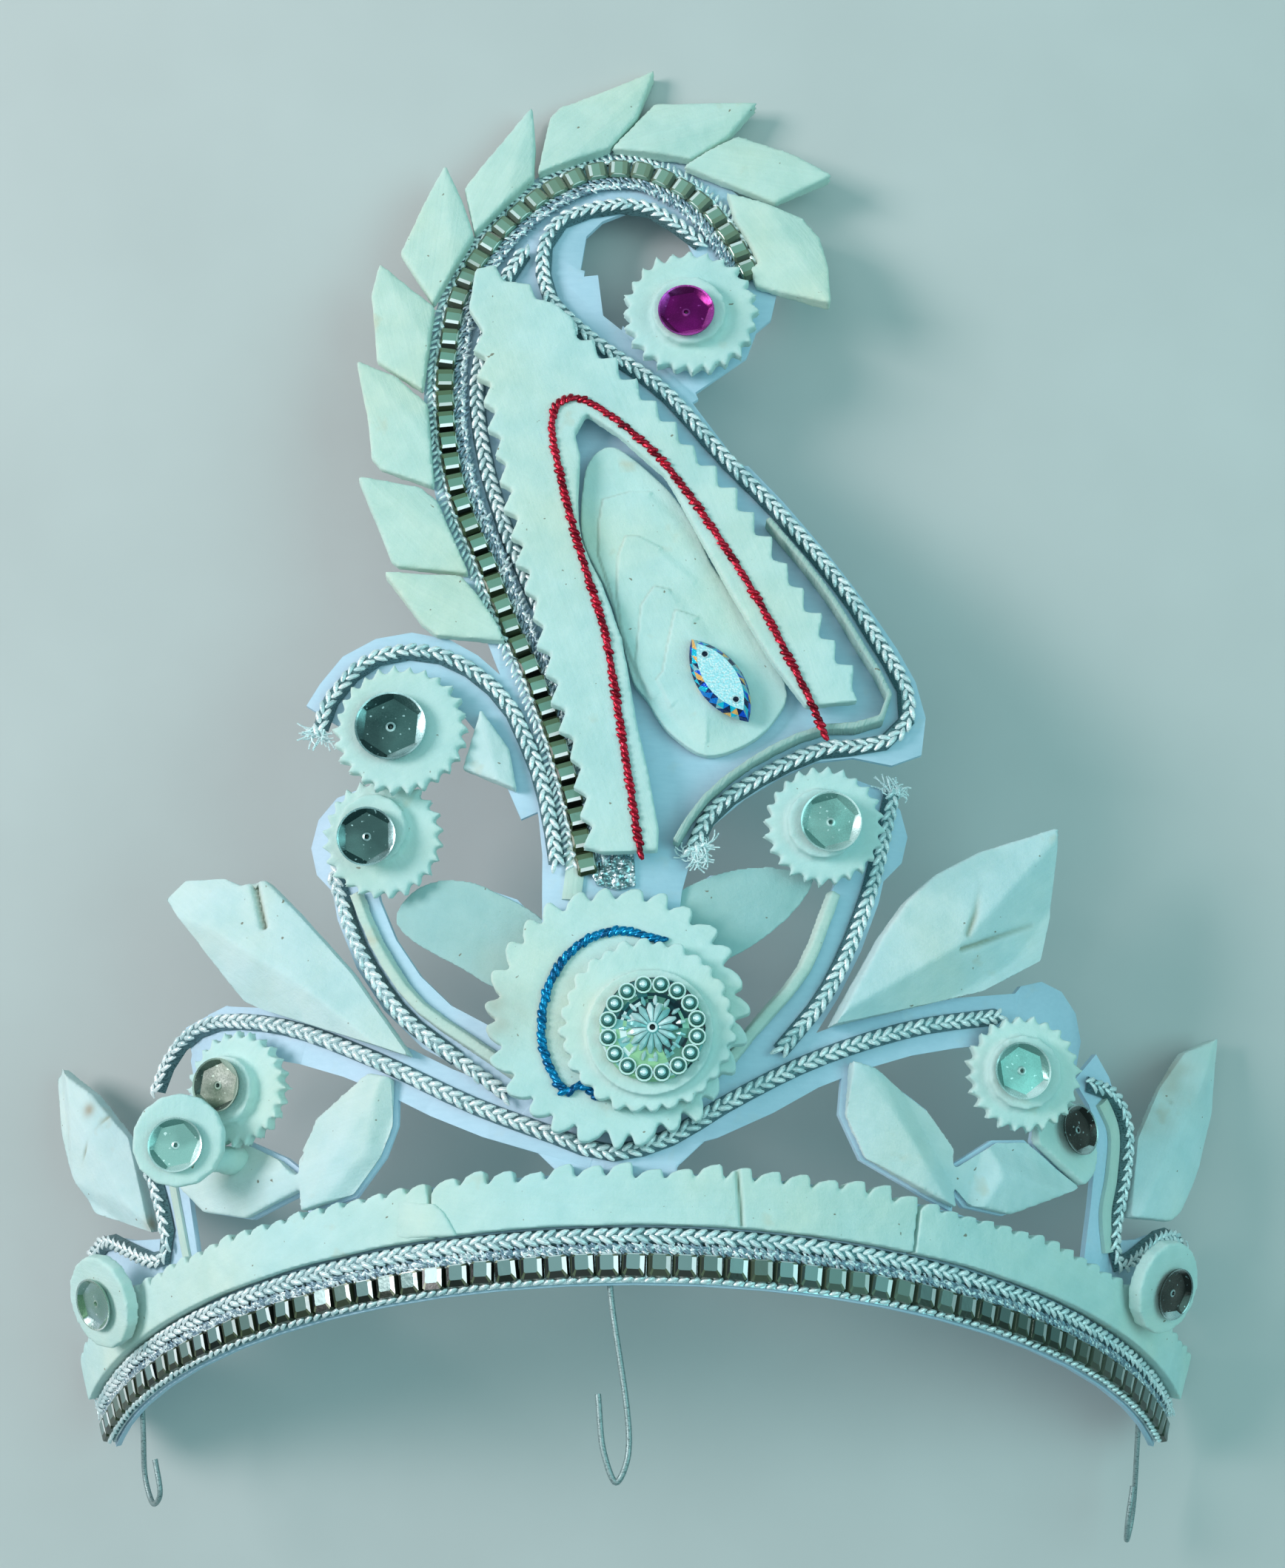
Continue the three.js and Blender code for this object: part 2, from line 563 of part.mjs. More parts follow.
function button() {
  const plate = disc(BUTTON_RADIUS - 0.6, 0, 1.2, 24);
  const ring = circle(0, 0, BUTTON_RADIUS - 1.5, BUTTON_DOMES);
  const dome = (top, foot, high, sides) =>
    new THREE.CylinderGeometry(top, foot, high, sides).rotateX(Math.PI / 2).translate(0, 0, 1 + high / 2);
  const domes = ring.map(([x, y]) => dome(0.7, 1.35, 1.4, 6).translate(x, y, 0));
  const heart = dome(2.4, 5.4, 1.8, 12);
  const whole = fuse(plate, heart, ...domes);
  return whole.translate(BOSS_SHIFT[0] + 0.9, BOSS_SHIFT[1] - 1.2, BUTTON_BASE);
}
add('rosette_boss', rosetteBoss(), CREAM, ROSETTE);
add('rosette_button', button(), CRYSTAL, ROSETTE);

// The paisley card: a curled comma on a neck, with a scroll on its left
const PAISLEY_OUTLINE = [
  [-14, 38], [-15.5, 60], [-16, 76], [-21, 97], [-29, 119], [-36, 139.5], [-38.3, 157], [-36.8, 175],
  [-30, 191], [-18.5, 203.5], [-4.6, 209], [10.5, 206.5], [20.5, 198.5], [26, 186], [26, 177],
  [21.5, 166.5], [11, 158.6], [14.5, 151.5], [27.6, 136], [40.3, 118.5], [49.5, 102], [50.6, 94],
  [48, 87], [41, 88.8], [32.4, 88.6], [23.5, 84.5], [15, 78.5], [9.5, 71], [7.5, 60], [5, 38],
];
const CURL_HOLE = [
  [-5.9, 193.7], [-0.6, 195.5], [3.1, 194], [6.7, 191], [9.2, 187.6], [3.1, 184.5], [-1, 177],
  [-2.4, 171.5], [-5.8, 174.5], [-6.8, 182.9], [-9.4, 182.6], [-8.6, 188.5],
];
const SCROLL_ARM = [[-53, 96], [-48, 104], [-42, 107], [-36, 107], [-29, 103], [-21, 93], [-15, 80]];
const SCROLL_ARM_WIDTH = 9.6;

function paisleyCard() {
  const body = slab(loop(PAISLEY_OUTLINE, 66), PAISLEY_BACK, PAISLEY_FRONT);
  const arm = sweep(SCROLL_ARM, strap(SCROLL_ARM_WIDTH, PAISLEY_BACK, PAISLEY_FRONT), 5);
  const pad = slab(circle(-43, 97, 8, 14), PAISLEY_BACK, PAISLEY_FRONT);
  return cut(fuse(body, arm, pad), slab(CURL_HOLE, PAISLEY_BACK - GAP, PAISLEY_FRONT + GAP));
}
add('paisley_card', paisleyCard(), CARD_WHITE, paisley);

// Stone trim and braids of the paisley
const PAISLEY_TRIM_ROUTE = [
  [-7.5, 70], [-10.1, 82.5], [-13.6, 94.5], [-17.1, 104.3], [-21.3, 113.5], [-25.6, 125], [-30, 135.5],
  [-32.6, 146], [-33.7, 157.5], [-33.4, 167], [-31.4, 178.5], [-26.4, 188.3], [-20.3, 195.4],
  [-13.3, 200.7], [-6, 203.5], [1.4, 203.3], [7.5, 200.5], [12, 196.8], [15.8, 192], [18.5, 187.3],
  [20.3, 183],
];
const EDGE_ROUTE = [
  [12.2, 189], [7.5, 193], [2.7, 196.2], [-2.3, 197], [-8.5, 196], [-13.3, 194], [-16.2, 190], [-17, 184],
  [-15.5, 177.5], [-7.6, 169], [4.8, 159.2], [16.5, 145.1], [26.4, 134], [38.1, 118.4], [42.6, 110.3],
  [47, 101.9], [47.6, 97], [45.5, 92.8], [39.2, 90.8], [34, 90.6], [27, 88], [19.6, 83.8], [13, 78.5],
  [10, 72.3],
];
const INNER_ROUTE = [
  [-20.6, 187], [-24.4, 180], [-27.6, 168], [-28.6, 160], [-28.2, 153], [-26.5, 143.5], [-23.6, 133.5],
  [-21.3, 127.4], [-19.2, 122.5], [-17, 117],
];
const SCROLL_ROUTE = [
  [-54.4, 94], [-53.2, 98.5], [-51, 101.7], [-47.6, 105.7], [-42.2, 108], [-36.8, 108.2], [-31.4, 106.6],
  [-25.9, 102.8], [-21.6, 98], [-18.7, 92], [-16.2, 85.5], [-14.4, 78], [-13.1, 70],
];
const RIM_ROUTE = [
  [23.6, 132.2], [30.4, 123.4], [35.4, 115.8], [40, 107.4], [44, 99.6], [44, 96.6], [42.2, 94.8], [38, 93.6],
  [33, 93.4], [26.5, 91], [18.2, 86], [11.4, 80], [7, 73],
];
const RIM_WIDTH = 1.1;
const RIM_TOP = PAISLEY_BASE + 4;

add('paisley_trim', sweep(PAISLEY_TRIM_ROUTE, trimSection(PAISLEY_BASE), 7), SILVER_FOIL, paisley);
const PAISLEY_BRAIDS = {
  braid_paisley_edge: EDGE_ROUTE,
  braid_paisley_inner: INNER_ROUTE,
  braid_paisley_scroll: SCROLL_ROUTE,
};
Object.entries(PAISLEY_BRAIDS).forEach(([name, route]) =>
  add(name, braid(route, PAISLEY_BASE), SILVER_BRAID, paisley));
add('paisley_rim', sweep(RIM_ROUTE, strap(RIM_WIDTH, PAISLEY_BASE, RIM_TOP), 5), CREAM, paisley);

// Flames round the paisley, tips first; each keeps clear of the trim and of its neighbours
const FLAMES = [
  [[-43.6, 122], [-37, 113], [-34.5, 111], [-22.3, 109.8], [-28, 118.5], [-30.6, 121.6]],
  [[-49, 140.3], [-42.5, 124.4], [-29.5, 122.6], [-35.3, 136], [-38.5, 138.7]],
  [[-50.2, 163.2], [-48, 152.7], [-46.8, 143.6], [-35.9, 139.4], [-37.5, 155], [-43, 160]],
  [[-46.7, 182.7], [-48, 177], [-46.7, 164.4], [-38.4, 158.5], [-36.8, 174.6], [-41.8, 178.6]],
  [[-35.4, 203.6], [-39.8, 194.2], [-43, 186.4], [-36.8, 176], [-30, 189.6], [-32, 195.8]],
  [[-19.5, 216.1], [-27, 206.3], [-31.5, 200], [-29.4, 190.6], [-19, 202], [-18.8, 208.5]],
  [[3.4, 224], [-11.6, 218], [-15.4, 216.9], [-17.8, 203], [-5, 208.2], [0, 214.6]],
  [[22.6, 217.3], [4, 218], [-3.8, 208.2], [10.5, 206], [17, 210.4]],
  [[36.1, 201.9], [29.9, 206.3], [19.4, 210.4], [9.6, 204.2], [26, 197]],
  [[35.5, 175.6], [35.2, 183.7], [33.8, 189.1], [30.9, 193], [17.4, 198.4], [22.5, 179.8]],
];
const FLAME_SHRINK = 0.97;
const FLAME_EDGE = 1.8;
const FLAME_RIDGE = 3.4;

function centre(points) {
  const sum = points.reduce((total, [x, y]) => [total[0] + x, total[1] + y], [0, 0]);
  return [sum[0] / points.length, sum[1] / points.length];
}

function flame(outline) {
  const [cx, cy] = centre(outline);
  const points = outline.map(([x, y]) => [cx + FLAME_SHRINK * (x - cx), cy + FLAME_SHRINK * (y - cy)]);
  const root = centre(points.slice(-3, -1));
  const leaf = ridged(points, [points[0], root], FLAME_EDGE, FLAME_RIDGE, 9).translate(0, 0, PAISLEY_BASE);
  const clear = strap(TRIM_WIDTH + 2 * GAP, 0, PAISLEY_BASE + 2 * FLAME_RIDGE);
  return cut(leaf, sweep(PAISLEY_TRIM_ROUTE, clear, 5));
}
FLAMES.forEach((outline, i) => add(`flame_${i + 1}`, flame(outline), CREAM, paisley));

// The toothed panel: an inverted V whose outer edges are cut to saw teeth
const PANEL_LEFT = [
  [-6, 71], [-8.5, 84], [-11, 94], [-15.5, 111], [-19.5, 128], [-23, 144], [-26, 160], [-27.5, 169],
];
const PANEL_TOP = [
  [-30.2, 173], [-29, 181], [-25.5, 181.8], [-24, 178.5], [-19, 178], [-18, 175], [-14.5, 174],
];
const PANEL_RIGHT = [
  [-13.5, 170], [-2.5, 158.5], [7.5, 146.5], [18, 133], [26.6, 119.5], [34, 105.5], [38, 99],
];
const PANEL_INNER = [
  [38.5, 97.5], [29.5, 96.5], [24, 104.5], [19, 113.5], [11, 129], [5.5, 140], [-3, 148], [-8.6, 152],
  [-10.6, 148], [-7.6, 135], [-3.6, 118], [0.4, 94], [2.6, 84], [4.2, 74.5], [4, 71], [-5, 70.6],
];
const PANEL_THICK = 2.6;

function panel() {
  const outline = [
    ...teeth(PANEL_LEFT, 5.4, 2.2, 2), ...PANEL_TOP, ...teeth(PANEL_RIGHT, 5.6, 2.4, 5), ...PANEL_INNER,
  ];
  return slab(outline, PANEL_BASE, PANEL_BASE + PANEL_THICK);
}
add('paisley_panel', panel(), CREAM, paisley);

// Nested petals inside the panel, from a wide outer outline to a small inner one
const OUTER_PETAL = [[-9.6, 146], [-3.6, 120], [1.5, 96], [12, 86.6], [27, 95], [20, 112.5], [6, 139]];
const INNER_PETAL = [[6.8, 116], [1.5, 106], [3.5, 97], [12, 88], [23.5, 95.6], [24, 103], [18, 113]];
const PETALS = 5;
const PETAL_BASE_THICK = 1.2;
const PETAL_STEP = 0.55;

function petalStack() {
  const layers = [];
  for (let i = 0; i < PETALS; i += 1) {
    const mix = (k) => OUTER_PETAL.map((p, n) => p[k] + ((INNER_PETAL[n][k] - p[k]) * i) / (PETALS - 1));
    const ys = mix(1);
    const outline = mix(0).map((x, n) => [x, ys[n]]);
    layers.push(slab(outline, 0, PETAL_BASE_THICK + PETAL_STEP * i));
  }
  return fuse(...layers).translate(0, 0, PAISLEY_BASE);
}
add('petal_stack', petalStack(), CREAM, paisley);

// The sew-on stone: two arcs for an outline, a bevel to its table
const MARQUISE_MIDDLE = [14.8, 101.6];
const MARQUISE_TURN = radians(-57.5);
const MARQUISE_LENGTH = 18;
const MARQUISE_WIDTH = 8;
const MARQUISE_BASE = PAISLEY_BASE + PETAL_BASE_THICK + PETAL_STEP * (PETALS - 1) + GAP;

function marquise() {
  const radius = (MARQUISE_LENGTH ** 2 + MARQUISE_WIDTH ** 2) / (4 * MARQUISE_WIDTH);
  const sweepAngle = Math.asin(MARQUISE_LENGTH / 2 / radius);
  const drop = radius - MARQUISE_WIDTH / 2;
  const shape = new THREE.Shape();
  shape.absarc(0, -drop, radius, Math.PI / 2 + sweepAngle, Math.PI / 2 - sweepAngle, true);
  shape.absarc(0, drop, radius, -Math.PI / 2 + sweepAngle, -Math.PI / 2 - sweepAngle, true);
  const options = {
    depth: 0.6, curveSegments: 4, bevelSegments: 1, bevelThickness: 1, bevelSize: 1.1, bevelOffset: -1.1,
  };
  const stone = new THREE.ExtrudeGeometry(shape, options).translate(0, 0, 1);
  return stone.rotateZ(MARQUISE_TURN).translate(...MARQUISE_MIDDLE, MARQUISE_BASE);
}
add('marquise_stone', marquise(), CRYSTAL, paisley);

// A small leaf between the scroll and the neck
const SMALL_LEAF = [[-26.5, 97], [-29.5, 86.5], [-20, 82.5], [-21.5, 90]];
const smallLeaf = ridged(SMALL_LEAF, [[-26.5, 97], [-23, 83]], 1.6, PITH, 6);
add('paisley_leaf', smallLeaf.translate(0, 0, PAISLEY_BASE), CREAM, paisley);

// The crown leans back to rest on its ends and on the flames' tips
crown.rotation.x = -REST_TILT;
const model = new THREE.Group();
model.add(crown);
model.updateMatrixWorld(true);
const box = new THREE.Box3().setFromObject(model, true);
const middle = box.getCenter(new THREE.Vector3());
crown.position.set(-middle.x, -middle.y, -box.min.z);

export default model;
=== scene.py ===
import json
import math
import random

import bmesh
import bpy
import numpy as np
from mathutils import Matrix, Vector, noise


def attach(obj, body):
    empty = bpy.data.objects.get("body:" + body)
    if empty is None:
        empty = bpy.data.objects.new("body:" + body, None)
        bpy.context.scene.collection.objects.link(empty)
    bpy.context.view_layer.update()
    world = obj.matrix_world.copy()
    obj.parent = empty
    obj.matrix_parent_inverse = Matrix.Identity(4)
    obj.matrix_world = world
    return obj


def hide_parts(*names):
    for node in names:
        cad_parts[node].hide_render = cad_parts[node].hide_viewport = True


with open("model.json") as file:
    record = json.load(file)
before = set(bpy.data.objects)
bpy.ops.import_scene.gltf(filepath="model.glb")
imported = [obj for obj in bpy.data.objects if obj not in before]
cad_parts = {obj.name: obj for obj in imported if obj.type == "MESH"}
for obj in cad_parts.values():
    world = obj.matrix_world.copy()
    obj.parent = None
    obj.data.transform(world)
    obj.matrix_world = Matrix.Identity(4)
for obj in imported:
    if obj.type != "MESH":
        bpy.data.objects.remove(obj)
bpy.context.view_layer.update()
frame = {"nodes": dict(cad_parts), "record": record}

NODES = frame["nodes"]
MM = 0.001
MERGE = 1e-6

# The crown's own place: its flat layout is in millimetres, bent round a cone and leaned back to rest
CROWN_PLACE = Vector((0.065, -78.522, 64.848)) * MM
REST_TILT = math.radians(17.26)
CROWN = Matrix.Translation(CROWN_PLACE) @ Matrix.Rotation(-REST_TILT, 4, "X") @ Matrix.Scale(MM, 4)
CONE_RADIUS = 291.0
CONE_HALF_ANGLE = math.radians(20.5)
SIN = math.sin(CONE_HALF_ANGLE)
COS = math.cos(CONE_HALF_ANGLE)

# Heights of the layers above the card, as in the CAD
GAP = 0.3
CARD = 1.0
PAISLEY_BASE = 1.6
PANEL_TOP = 7.1
BRAID_TOP = 1.4
TRIM_WIDTH = 5.8
WIRE_RADIUS = 0.5
PLAIN_DISC = 2.6


def cone_frame(x, y):
    reach = math.hypot(x, CONE_RADIUS + y)
    around = math.atan2(x, CONE_RADIUS + y) / SIN
    spoke = Vector((math.sin(around), math.cos(around) * SIN, math.cos(around) * COS))
    along = Vector((0, COS * COS, -SIN * COS)) + SIN * spoke
    out = Vector((0, -SIN * COS, SIN * SIN)) + COS * spoke
    point = along * reach
    point.y -= CONE_RADIUS
    return point, along, out


def seat(x, y, height, turn=0, lean=0):
    """A place on the bent card, as a matrix from millimetres to the row frame."""
    point, along, out = cone_frame(x, y)
    basis = Matrix((along.cross(out), along, out)).transposed().to_4x4()
    basis.translation = point + out * height
    spin = Matrix.Rotation(math.radians(turn), 4, "Y") @ Matrix.Rotation(math.radians(lean), 4, "X")
    return CROWN @ basis @ spin


def on_card(x, y, height):
    point, _, out = cone_frame(x, y)
    return CROWN @ (point + out * height), (CROWN.to_3x3() @ out).normalized()


def on_paisley(x, y, height):
    return CROWN @ Vector((x, y, height)), (CROWN.to_3x3() @ Vector((0, 0, 1))).normalized()


def on_seat(matrix):
    up = (matrix.to_3x3() @ Vector((0, 0, 1))).normalized()
    return lambda x, y, height: (matrix @ Vector((x, y, height)), up)


def on_band(around, height):
    angle = around / CONE_RADIUS
    reach = CONE_RADIUS + height
    return reach * math.sin(angle), reach * math.cos(angle) - CONE_RADIUS


def smooth(points, pieces=10):
    """Points of the centripetal curve that the CAD sweeps through a route."""
    route = [Vector((x, y)) for x, y in points]
    route = [2 * route[0] - route[1], *route, 2 * route[-1] - route[-2]]
    fine = []
    for a, b, c, d in zip(route, route[1:], route[2:], route[3:]):
        t1 = math.sqrt((b - a).length)
        t2 = t1 + math.sqrt((c - b).length)
        t3 = t2 + math.sqrt((d - c).length)
        for k in range(pieces):
            t = t1 + (t2 - t1) * k / pieces
            ab = a.lerp(b, t / t1)
            bc = b.lerp(c, (t - t1) / (t2 - t1))
            cd = c.lerp(d, (t - t2) / (t3 - t2))
            fine.append(ab.lerp(bc, t / t2).lerp(bc.lerp(cd, (t - t1) / (t3 - t1)), (t - t1) / (t2 - t1)))
    fine.append(route[-2])
    return fine


def path(points, place, height, shift=0.0):
    """A route laid on the card: points and the surface's own up; shift moves it to its left."""
    fine = smooth(points)
    laid = []
    for i, p in enumerate(fine):
        run = (fine[min(i + 1, len(fine) - 1)] - fine[max(i - 1, 0)]).normalized()
        laid.append(place(p.x - run.y * shift, p.y + run.x * shift, height))
    return laid


# Making and keeping pieces

def new_object(name, mesh):
    obj = bpy.data.objects.new(name, mesh)
    bpy.context.scene.collection.objects.link(obj)
    return obj


def keep(name, mesh, finish=None, nodes=()):
    """A finished piece on the crown's one body; it stands for the CAD nodes it is given."""
    obj = new_object(name, mesh)
    if finish:
        mesh.materials.clear()
        mesh.materials.append(finish)
    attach(obj, "root")
    if nodes:
        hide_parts(*nodes)


def modify(obj, name, kind, **settings):
    modifier = obj.modifiers.new(name, kind)
    for key, value in settings.items():
        setattr(modifier, key, value)
    return modifier


def baked(obj, helpers=()):
    """The mesh that an object's modifiers make; the object and its helpers go."""
    graph = bpy.context.evaluated_depsgraph_get()
    mesh = bpy.data.meshes.new_from_object(
        obj.evaluated_get(graph), preserve_all_data_layers=True, depsgraph=graph)
    for done in (obj, *helpers):
        bpy.data.objects.remove(done)
    return mesh


def mesh_from(name, verts, faces, tones=None):
    mesh = bpy.data.meshes.new(name)
    mesh.from_pydata([tuple(v) for v in verts], [], faces)
    if tones:
        mesh.attributes.new("tone", "FLOAT", "FACE").data.foreach_set("value", tones)
    mesh.update()
    return mesh


def outward(mesh):
    form = bmesh.new()
    form.from_mesh(mesh)
    bmesh.ops.remove_doubles(form, verts=form.verts, dist=MERGE)
    bmesh.ops.recalc_face_normals(form, faces=form.faces)
    form.to_mesh(mesh)
    form.free()
    return mesh


def smooth_shaded(mesh, angle=None):
    mesh.shade_smooth()
    if angle is not None:
        mesh.set_sharp_from_angle(angle=math.radians(angle))
    return mesh


def merged(node):
    form = bmesh.new()
    form.from_mesh(NODES[node].data)
    bmesh.ops.remove_doubles(form, verts=form.verts, dist=2 * MERGE)
    return form


def block_of(form):
    """A closed form as an object to be cut and worked on."""
    bmesh.ops.recalc_face_normals(form, faces=form.faces)
    mesh = bpy.data.meshes.new("block")
    form.to_mesh(mesh)
    form.free()
    return new_object("block", mesh)


def ring_faces(rows, around):
    """Four-sided faces between rows of points that each close round."""
    faces = []
    for i in range(rows - 1):
        for k in range(around):
            a, b = i * around + k, i * around + (k + 1) % around
            faces.append((a, b, b + around, a + around))
    return faces


def add_node(tree, kind, inputs=None, **settings):
    """A node with its settings; each input is joined to a socket or set to a value."""
    node = tree.nodes.new(kind)
    for key, value in settings.items():
        setattr(node, key, value)
    for key, value in (inputs or {}).items():
        if isinstance(value, bpy.types.NodeSocket):
            tree.links.new(value, node.inputs[key])
        else:
            node.inputs[key].default_value = value
    return node


# Materials

class Finish:
    """A material being built: a principled skin over patterns in millimetres of Object space."""

    def __init__(self, name, roughness, metallic=0.0, **inputs):
        self.material = bpy.data.materials.new(name)
        self.material.use_nodes = True
        self.tree = self.material.node_tree
        self.tree.nodes.clear()
        self.skin = self.add("ShaderNodeBsdfPrincipled", Roughness=roughness, Metallic=metallic, **inputs)
        self.add("ShaderNodeOutputMaterial", Surface=self.skin.outputs["BSDF"])
        self.space = self.add("ShaderNodeTexCoord").outputs["Object"]
        self.normal = None

    def add(self, kind, **inputs):
        return add_node(self.tree, kind, {key.replace("_", " "): value for key, value in inputs.items()})

    def join(self, socket, name):
        self.tree.links.new(socket, self.skin.inputs[name])

    def millimetres(self, stretch=(1, 1, 1), turn=0):
        return self.add("ShaderNodeMapping", Vector=self.space, Scale=[s / MM for s in stretch],
                        Rotation=(0, 0, math.radians(turn))).outputs["Vector"]

    def noise(self, scale, detail, stretch=(1, 1, 1), turn=0):
        return self.add("ShaderNodeTexNoise", Vector=self.millimetres(stretch, turn), Scale=scale,
                        Detail=detail, Roughness=0.55).outputs["Fac"]

    def cells(self, scale):
        return self.add("ShaderNodeTexVoronoi", Vector=self.millimetres(), Scale=scale).outputs["Distance"]

    def attribute(self, name):
        return add_node(self.tree, "ShaderNodeAttribute", attribute_name=name).outputs["Fac"]

    def ramp(self, value, *stops):
        node = self.add("ShaderNodeValToRGB", Fac=value)
        marks = node.color_ramp.elements
        while len(marks) < len(stops):
            marks.new(0.5)
        for mark, (where, colour) in zip(marks, stops):
            mark.position = where
            mark.color = (*colour, 1)
        return node.outputs["Color"]

    def level(self, value, low, high, to_low=0.0, to_high=1.0):
        return self.add("ShaderNodeMapRange", Value=value, From_Min=low, From_Max=high, To_Min=to_low,
                        To_Max=to_high).outputs["Result"]

    def maths(self, operation, a, b):
        return add_node(self.tree, "ShaderNodeMath", {0: a, 1: b}, operation=operation).outputs[0]

    def blend(self, factor, a, b, mode="MIX"):
        a, b = [c if isinstance(c, bpy.types.NodeSocket) else (*c, 1) for c in (a, b)]
        return add_node(self.tree, "ShaderNodeMix", {0: factor, 6: a, 7: b}, data_type="RGBA",
                        blend_type=mode).outputs[2]

    def along(self, axis, low, high):
        """From 0 to 1 between two places on an axis, in metres."""
        return self.level(self.add("ShaderNodeSeparateXYZ", Vector=self.space).outputs[axis], low, high)

    def fibres(self, scale):
        """Lines along a piece's longest way, a little wavy."""
        sway = self.level(self.noise(0.12, 2), 0.3, 0.7, -0.2, 0.2)
        wavy = self.maths("ADD", self.attribute("across"), sway)
        return add_node(self.tree, "ShaderNodeTexNoise", {"W": wavy, "Scale": scale, "Detail": 3.0},
                        noise_dimensions="1D").outputs["Fac"]

    def colour(self, value):
        self.join(value, "Base Color")

    def bump(self, height, strength, depth):
        node = self.add("ShaderNodeBump", Height=height, Strength=strength, Distance=depth * MM)
        if self.normal:
            self.tree.links.new(self.normal, node.inputs["Normal"])
        self.normal = node.outputs["Normal"]
        self.join(self.normal, "Normal")

    def rough(self, value):
        self.join(value, "Roughness")


def pith_finish(name, shade, grain=0.04):
    f = Finish(name, 0.86, Subsurface_Weight=0.12, Subsurface_Scale=0.0015, Specular_IOR_Level=0.28)
    f.skin.inputs["Subsurface Radius"].default_value = (1.0, 1.0, 0.8)
    broad = f.noise(0.035, 4)
    body = f.ramp(broad, (0.3, (0.60, 0.79, 0.78)), (0.5, (0.66, 0.81, 0.77)), (0.72, (0.72, 0.81, 0.71)))
    blotch = f.ramp(f.noise(0.16, 5), (0.35, (0.88, 0.93, 0.93)), (0.62, (1, 1, 1)))
    body = f.blend(1.0, body, blotch, "MULTIPLY")
    body = f.blend(1.0, body, shade, "MULTIPLY")
    fibres = f.fibres(1.5)
    body = f.blend(f.level(fibres, 0.38, 0.68, 0.0, 2 * grain), body, (0.50, 0.62, 0.56))
    speck = f.level(f.noise(0.8, 1), 0.765, 0.80, 0, 0.8)
    body = f.blend(speck, body, (0.20, 0.15, 0.09))
    stain = f.level(f.noise(0.11, 3), 0.66, 0.78, 0, 0.5)
    body = f.blend(stain, body, (0.62, 0.50, 0.33))
    body = f.blend(f.attribute("stain"), body, (0.42, 0.30, 0.20))
    # Cracks darkened towards a dull tan: the crack's own colour, and painted shade in the groove
    f.colour(f.blend(f.level(f.attribute("groove_shade"), 0, 1, 0, 0.8), body, (0.36, 0.36, 0.26)))
    f.bump(fibres, 3 * grain, 0.3)
    f.bump(f.noise(0.55, 5), 0.4, 0.4)
    f.bump(f.noise(4.0, 3), 0.35, 0.12)
    f.bump(f.cells(2.6), 0.12, 0.10)
    return f.material


def card_finish():
    f = Finish("cut_card", 0.7, Specular_IOR_Level=0.35)
    tint = f.ramp(f.noise(0.03, 4), (0.3, (0.52, 0.70, 0.82)), (0.7, (0.64, 0.77, 0.92)))
    fibre = f.ramp(f.noise(1.5, 5, (0.2, 1, 1), 60), (0.3, (0.93, 0.95, 0.96)), (0.65, (1, 1, 1)))
    tint = f.blend(1.0, tint, fibre, "MULTIPLY")
    scuff = f.level(f.noise(0.25, 6), 0.6, 0.8, 0, 0.35)
    f.colour(f.blend(scuff, tint, (0.62, 0.66, 0.66)))
    f.bump(f.noise(0.12, 3), 0.4, 0.6)
    f.bump(f.noise(3.0, 4), 0.25, 0.1)
    return f.material


def thread_finish(name, dark, light, roughness, metallic=0.45, dull=(0.4, 1.0, 0.6)):
    """Metallic thread: fine ply, and strands that are duller than others at random; the brightest strands
    stand in for glints, a painted highlight.
    """
    f = Finish(name, roughness, metallic)
    ply = f.noise(5.0, 2, (0.3, 1, 1), 35)
    tint = f.ramp(ply, (0.3, dark), (0.5, light))
    low, high, most = dull
    f.colour(f.blend(f.level(f.attribute("shade"), low, high, 0.0, most), tint, dark))
    f.bump(ply, 0.5, 0.12)
    f.rough(f.level(f.noise(0.9, 2), 0.3, 0.7, roughness - 0.12, roughness + 0.12))
    return f.material


def foil_finish(name, dark, light, roughness, crinkle):
    f = Finish(name, roughness, 1.0)
    f.colour(f.ramp(f.noise(0.5, 4), (0.35, dark), (0.65, light)))
    f.bump(f.noise(0.7, 4), crinkle, 0.25)
    f.rough(f.level(f.noise(2.5, 3), 0.3, 0.75, roughness * 0.6, roughness * 1.7))
    return f.material


def sequin_finish(name, shade, face, glint, metal=0.6):
    """Pressed foil: the flat face, rim facets painted from shade to glint, random darker patches and specks
    of painted glint.
    """
    f = Finish(name, 0.2, metal)
    tint = f.ramp(f.attribute("tone"), (0.0, shade), (0.5, face), (1.0, glint))
    tint = f.blend(f.level(f.noise(0.13, 2), 0.42, 0.6, 0, 0.6), tint, shade)
    f.colour(f.blend(f.level(f.noise(1.6, 0), 0.77, 0.82, 0, 0.7), tint, glint))
    f.bump(f.noise(0.5, 3), 0.08, 0.2)
    f.rough(f.level(f.noise(3.0, 3), 0.3, 0.75, 0.16, 0.38))
    return f.material


